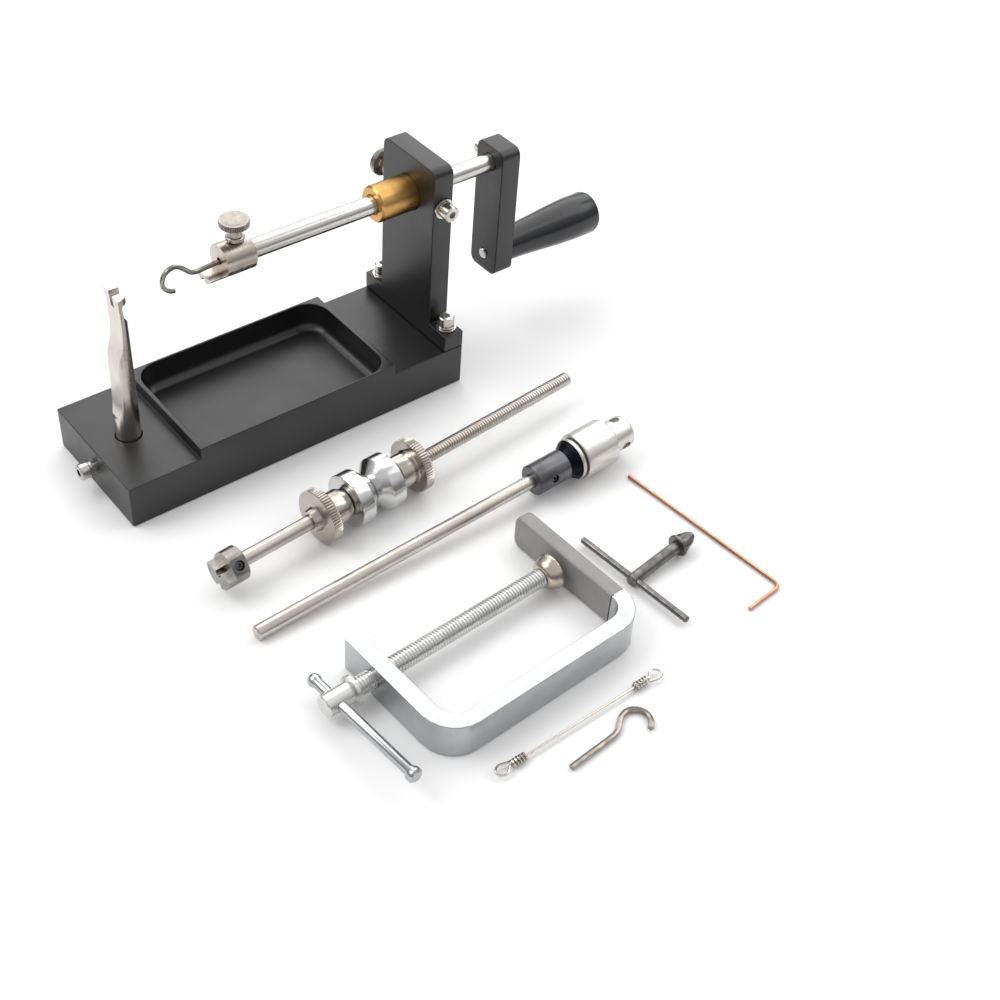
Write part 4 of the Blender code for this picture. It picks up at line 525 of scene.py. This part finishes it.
def knurl(piece, low, high, radius, depth, segments):
    """Pulls in one column of points in each tooth, between two heights on the rim."""
    pick(piece)
    bpy.ops.object.mode_set(mode="EDIT")
    bpy.ops.mesh.select_mode(type="VERT")
    bpy.ops.mesh.select_all(action="DESELECT")
    bpy.ops.object.mode_set(mode="OBJECT")
    for point in piece.data.vertices:
        x, y, z = point.co
        column = round(math.atan2(y, x) / math.tau * segments) % COLUMNS_A_TOOTH
        on_rim = low < z < high and math.hypot(x, y) > radius * RIM_SHARE
        point.select = column == 0 and on_rim
    bpy.ops.object.mode_set(mode="EDIT")
    share = 1 - depth / radius
    bpy.ops.transform.resize(value=(share, share, 1))
    bpy.ops.object.mode_set(mode="OBJECT")


def seat(piece, origin, axis):
    """Turns local Z to the axis, moves the piece to its place and puts both in its mesh."""
    turn = Vector(axis).to_track_quat("Z", "Y").to_matrix().to_4x4()
    piece.matrix_world = Matrix.Translation(origin) @ turn
    pick(piece)
    bpy.ops.object.transform_apply(location=True, rotation=True, scale=True)


def dress(piece, node, angle=SMOOTH_ANGLE):
    """Gives a modelled piece its shading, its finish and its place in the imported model."""
    pick(piece)
    piece.data.materials.clear()
    piece.data.materials.append(FINISHES[slot_of[node]])
    bpy.ops.object.shade_smooth_by_angle(angle=math.radians(angle))
    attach(piece, body_of[node])
    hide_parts(node)
    return piece


def along(origin, axis, distance):
    """The place this far along an axis from an origin."""
    return Vector(origin) + Vector(axis) * distance


# %% Two knurled nuts
NUT_TEETH = 64
NUT_RADIUS = 0.0119
NUT_KNURL = 0.0006
NUT_KNURL_FROM = 0.0003
NUT_KNURL_TO = 0.0041
BORE = 0.0032
NUT_PROFILE = [
    (BORE, -0.0035), (0.0046, -0.0035), (0.0052, -0.0002), (0.0060, 0.0), (0.0110, 0.0),
    (0.0115, 0.0001), (NUT_RADIUS, 0.0005), (NUT_RADIUS, 0.0039), (0.0115, 0.0043),
    (0.0110, 0.0044), (0.0077, 0.0044), (0.0073, 0.0048), (0.0073, 0.0118),
    (0.0072, 0.0121), (0.0066, 0.0123), (0.0064, 0.0138), (0.0060, 0.0143),
    (0.0053, 0.0146), (0.0036, 0.0146), (BORE, 0.0142), (BORE, -0.0035),
]
AGAINST_MANDREL = tuple(-part for part in MANDREL_AXIS)
INNER_NUT_AT = (-0.026837, -0.077504, 0.0119)
OUTER_NUT_AT = (0.025211, -0.073526, 0.0119)
for node, origin, axis in (
    ("inner_nut", INNER_NUT_AT, MANDREL_AXIS), ("outer_nut", OUTER_NUT_AT, AGAINST_MANDREL),
):
    columns = NUT_TEETH * COLUMNS_A_TOOTH
    nut = turned(node + "_turned", NUT_PROFILE, columns)
    knurl(nut, NUT_KNURL_FROM, NUT_KNURL_TO, NUT_RADIUS, NUT_KNURL, columns)
    seat(nut, origin, axis)
    dress(nut, node)
print("nuts with", NUT_TEETH, "teeth")

# %% Two polished cones
CONE_PROFILE = [
    (BORE, 0.0), (0.0111, 0.0), (0.0114, 0.0001), (0.0116, 0.0004), (0.0116, 0.0061),
    (0.01155, 0.0064), (0.0113, 0.0067), (0.0068, 0.0109), (0.0064, 0.0112),
    (BORE, 0.0112), (BORE, 0.0),
]
INNER_CONE_AT = (-0.01208, -0.076376, 0.0119)
OUTER_CONE_AT = (0.010454, -0.074654, 0.0119)
for node, origin, axis in (
    ("inner_cone", INNER_CONE_AT, MANDREL_AXIS), ("outer_cone", OUTER_CONE_AT, AGAINST_MANDREL),
):
    cone = turned(node + "_turned", CONE_PROFILE)
    seat(cone, origin, axis)
    dress(cone, node)
print("cones done")

# %% Two thumbscrews
THUMB_TEETH = 56
THUMB_RADIUS = 0.00615
THUMB_KNURL = 0.0006
THUMB_COLLAR = 0.0018
THUMB_HEAD = 0.0028


def thumbscrew(node, origin, axis, neck, shank):
    """A knurled head on a neck, with a collar that bears on its seat at local Z 0."""
    low = THUMB_COLLAR + neck
    top = low + THUMB_HEAD
    columns = THUMB_TEETH * COLUMNS_A_TOOTH
    profile = [
        (0.0020, -shank), (0.0020, 0.0), (0.0028, 0.0), (0.0038, 0.0006), (0.0038, THUMB_COLLAR),
        (0.0035, 0.0021), (0.0029, 0.0022), (0.0028, 0.0026), (0.0028, low - 0.0004),
        (0.0032, low), (0.0057, low), (THUMB_RADIUS, low + 0.0003),
        (THUMB_RADIUS, top - 0.0004), (0.0059, top - 0.0001), (0.0055, top),
        (0.0050, top), (0.0048, top - 0.0001), (0.0010, top - 0.0001),
    ]
    screw = turned(node + "_turned", profile, columns)
    knurl(screw, low + 0.0001, top - 0.0002, THUMB_RADIUS, THUMB_KNURL, columns)
    seat(screw, origin, axis)
    return dress(screw, node)


BACK_AXIS = (0.0, 1.0, 0.0)
thumbscrew("hook_thumbscrew", (-0.0113, 0.0, 0.0935), UP_AXIS, neck=0.0048, shank=0.0064)
thumbscrew("brake_thumbscrew", (0.0775, 0.0182, 0.0863), BACK_AXIS, neck=0.0036, shank=0.0138)
print("thumbscrews with", THUMB_TEETH, "teeth")

# %% [markdown]
# ## Threads
# Both threads are real helices. One tooth is drawn as a line of five points, and a Screw
# modifier winds it up the axis by one pitch a turn. The ends are cut square with a bisect.
# A bump texture would be lighter, but it leaves a straight outline, and the ragged outline
# is what shows in the photograph.

# %% A helper that winds a thread
THREAD_STEPS = 24
THREAD_PITCH = 0.00133
TOOTH = ((0, 0.14), (1, 0.30), (0, 0.22), (-1, 0.34))


def thread(name, length, crest, root, pitch):
    """A threaded bar about local Z. TOOTH holds shares of the tooth's depth and pitch."""
    bpy.ops.object.select_all(action="DESELECT")
    bpy.ops.mesh.primitive_plane_add(size=0.001)
    piece = bpy.context.object
    piece.name = name
    bpy.ops.object.mode_set(mode="EDIT")
    bpy.ops.mesh.select_all(action="SELECT")
    bpy.ops.mesh.merge(type="CENTER")
    bpy.ops.transform.translate(value=(root, 0, -pitch))
    deep = crest - root
    for across, up in TOOTH:
        bpy.ops.mesh.extrude_vertices_move(
            TRANSFORM_OT_translate={"value": (across * deep, 0, up * pitch)}
        )
    bpy.ops.object.mode_set(mode="OBJECT")
    wind = piece.modifiers.new("Wind", "SCREW")
    wind.angle = math.tau
    wind.screw_offset = pitch
    wind.iterations = math.ceil(length / pitch) + 2
    wind.steps = THREAD_STEPS
    wind.render_steps = THREAD_STEPS
    wind.use_merge_vertices = True
    wind.merge_threshold = MODEL_MERGE
    bpy.ops.object.modifier_apply(modifier=wind.name)
    bpy.ops.object.mode_set(mode="EDIT")
    bpy.ops.mesh.select_all(action="SELECT")
    bpy.ops.mesh.remove_doubles(threshold=MODEL_MERGE)
    for height, inner, outer in ((0.0, True, False), (length, False, True)):
        bpy.ops.mesh.select_all(action="SELECT")
        bpy.ops.mesh.bisect(
            plane_co=(0, 0, height), plane_no=(0, 0, 1), use_fill=True,
            clear_inner=inner, clear_outer=outer,
        )
    bpy.ops.mesh.select_all(action="SELECT")
    bpy.ops.mesh.normals_make_consistent(inside=False)
    bpy.ops.object.mode_set(mode="OBJECT")
    return piece


def joined(pieces):
    """Several parts of one piece made into one mesh, under the first one's name."""
    pick(pieces[0])
    for other in pieces[1:]:
        other.select_set(True)
    bpy.ops.object.join()
    return pieces[0]


# %% Mandrel rod: plain to the outer nut, threaded beyond it
ROD_START = (-0.069214, -0.080742, 0.0119)
ROD_LENGTH = 0.1824
ROD_RADIUS = 0.0030
ROD_ROOT = 0.0025
ROD_EDGE = 0.0004
ROD_SEGMENTS = 48
PLAIN_LENGTH = 0.0880
plain_profile = [
    (ROD_RADIUS - ROD_EDGE, 0.0), (ROD_RADIUS, ROD_EDGE),
    (ROD_RADIUS, PLAIN_LENGTH - ROD_EDGE), (ROD_RADIUS - ROD_EDGE, PLAIN_LENGTH),
]
plain = turned("mandrel_rod_turned", plain_profile, ROD_SEGMENTS)
seat(plain, ROD_START, MANDREL_AXIS)
wound = thread(
    "mandrel_thread", ROD_LENGTH - PLAIN_LENGTH, ROD_RADIUS, ROD_ROOT, THREAD_PITCH
)
seat(wound, along(ROD_START, MANDREL_AXIS, PLAIN_LENGTH), MANDREL_AXIS)
dress(joined([plain, wound]), "mandrel_rod")
print("mandrel thread with pitch", THREAD_PITCH)

# %% Clamp screw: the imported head, cut off behind its flange, with a wound shank
SCREW_START = (-0.075883, -0.155039, 0.008)
HEAD_LENGTH = 0.0131
HEAD_OVERLAP = 0.0001
SHANK_LENGTH = 0.0908
SHANK_RADIUS = 0.0039
SHANK_ROOT = 0.0033
head = copied("clamp_screw")
bpy.ops.object.mode_set(mode="EDIT")
bpy.ops.mesh.select_all(action="SELECT")
bpy.ops.mesh.bisect(
    plane_co=along(SCREW_START, CLAMP_AXIS, HEAD_LENGTH + HEAD_OVERLAP),
    plane_no=CLAMP_AXIS, use_fill=True, clear_outer=True,
)
bpy.ops.object.mode_set(mode="OBJECT")
shank = thread("clamp_thread", SHANK_LENGTH, SHANK_RADIUS, SHANK_ROOT, THREAD_PITCH)
seat(shank, along(SCREW_START, CLAMP_AXIS, HEAD_LENGTH), CLAMP_AXIS)
dress(joined([head, shank]), "clamp_screw")
print("clamp screw done")

# %% Import json
import json
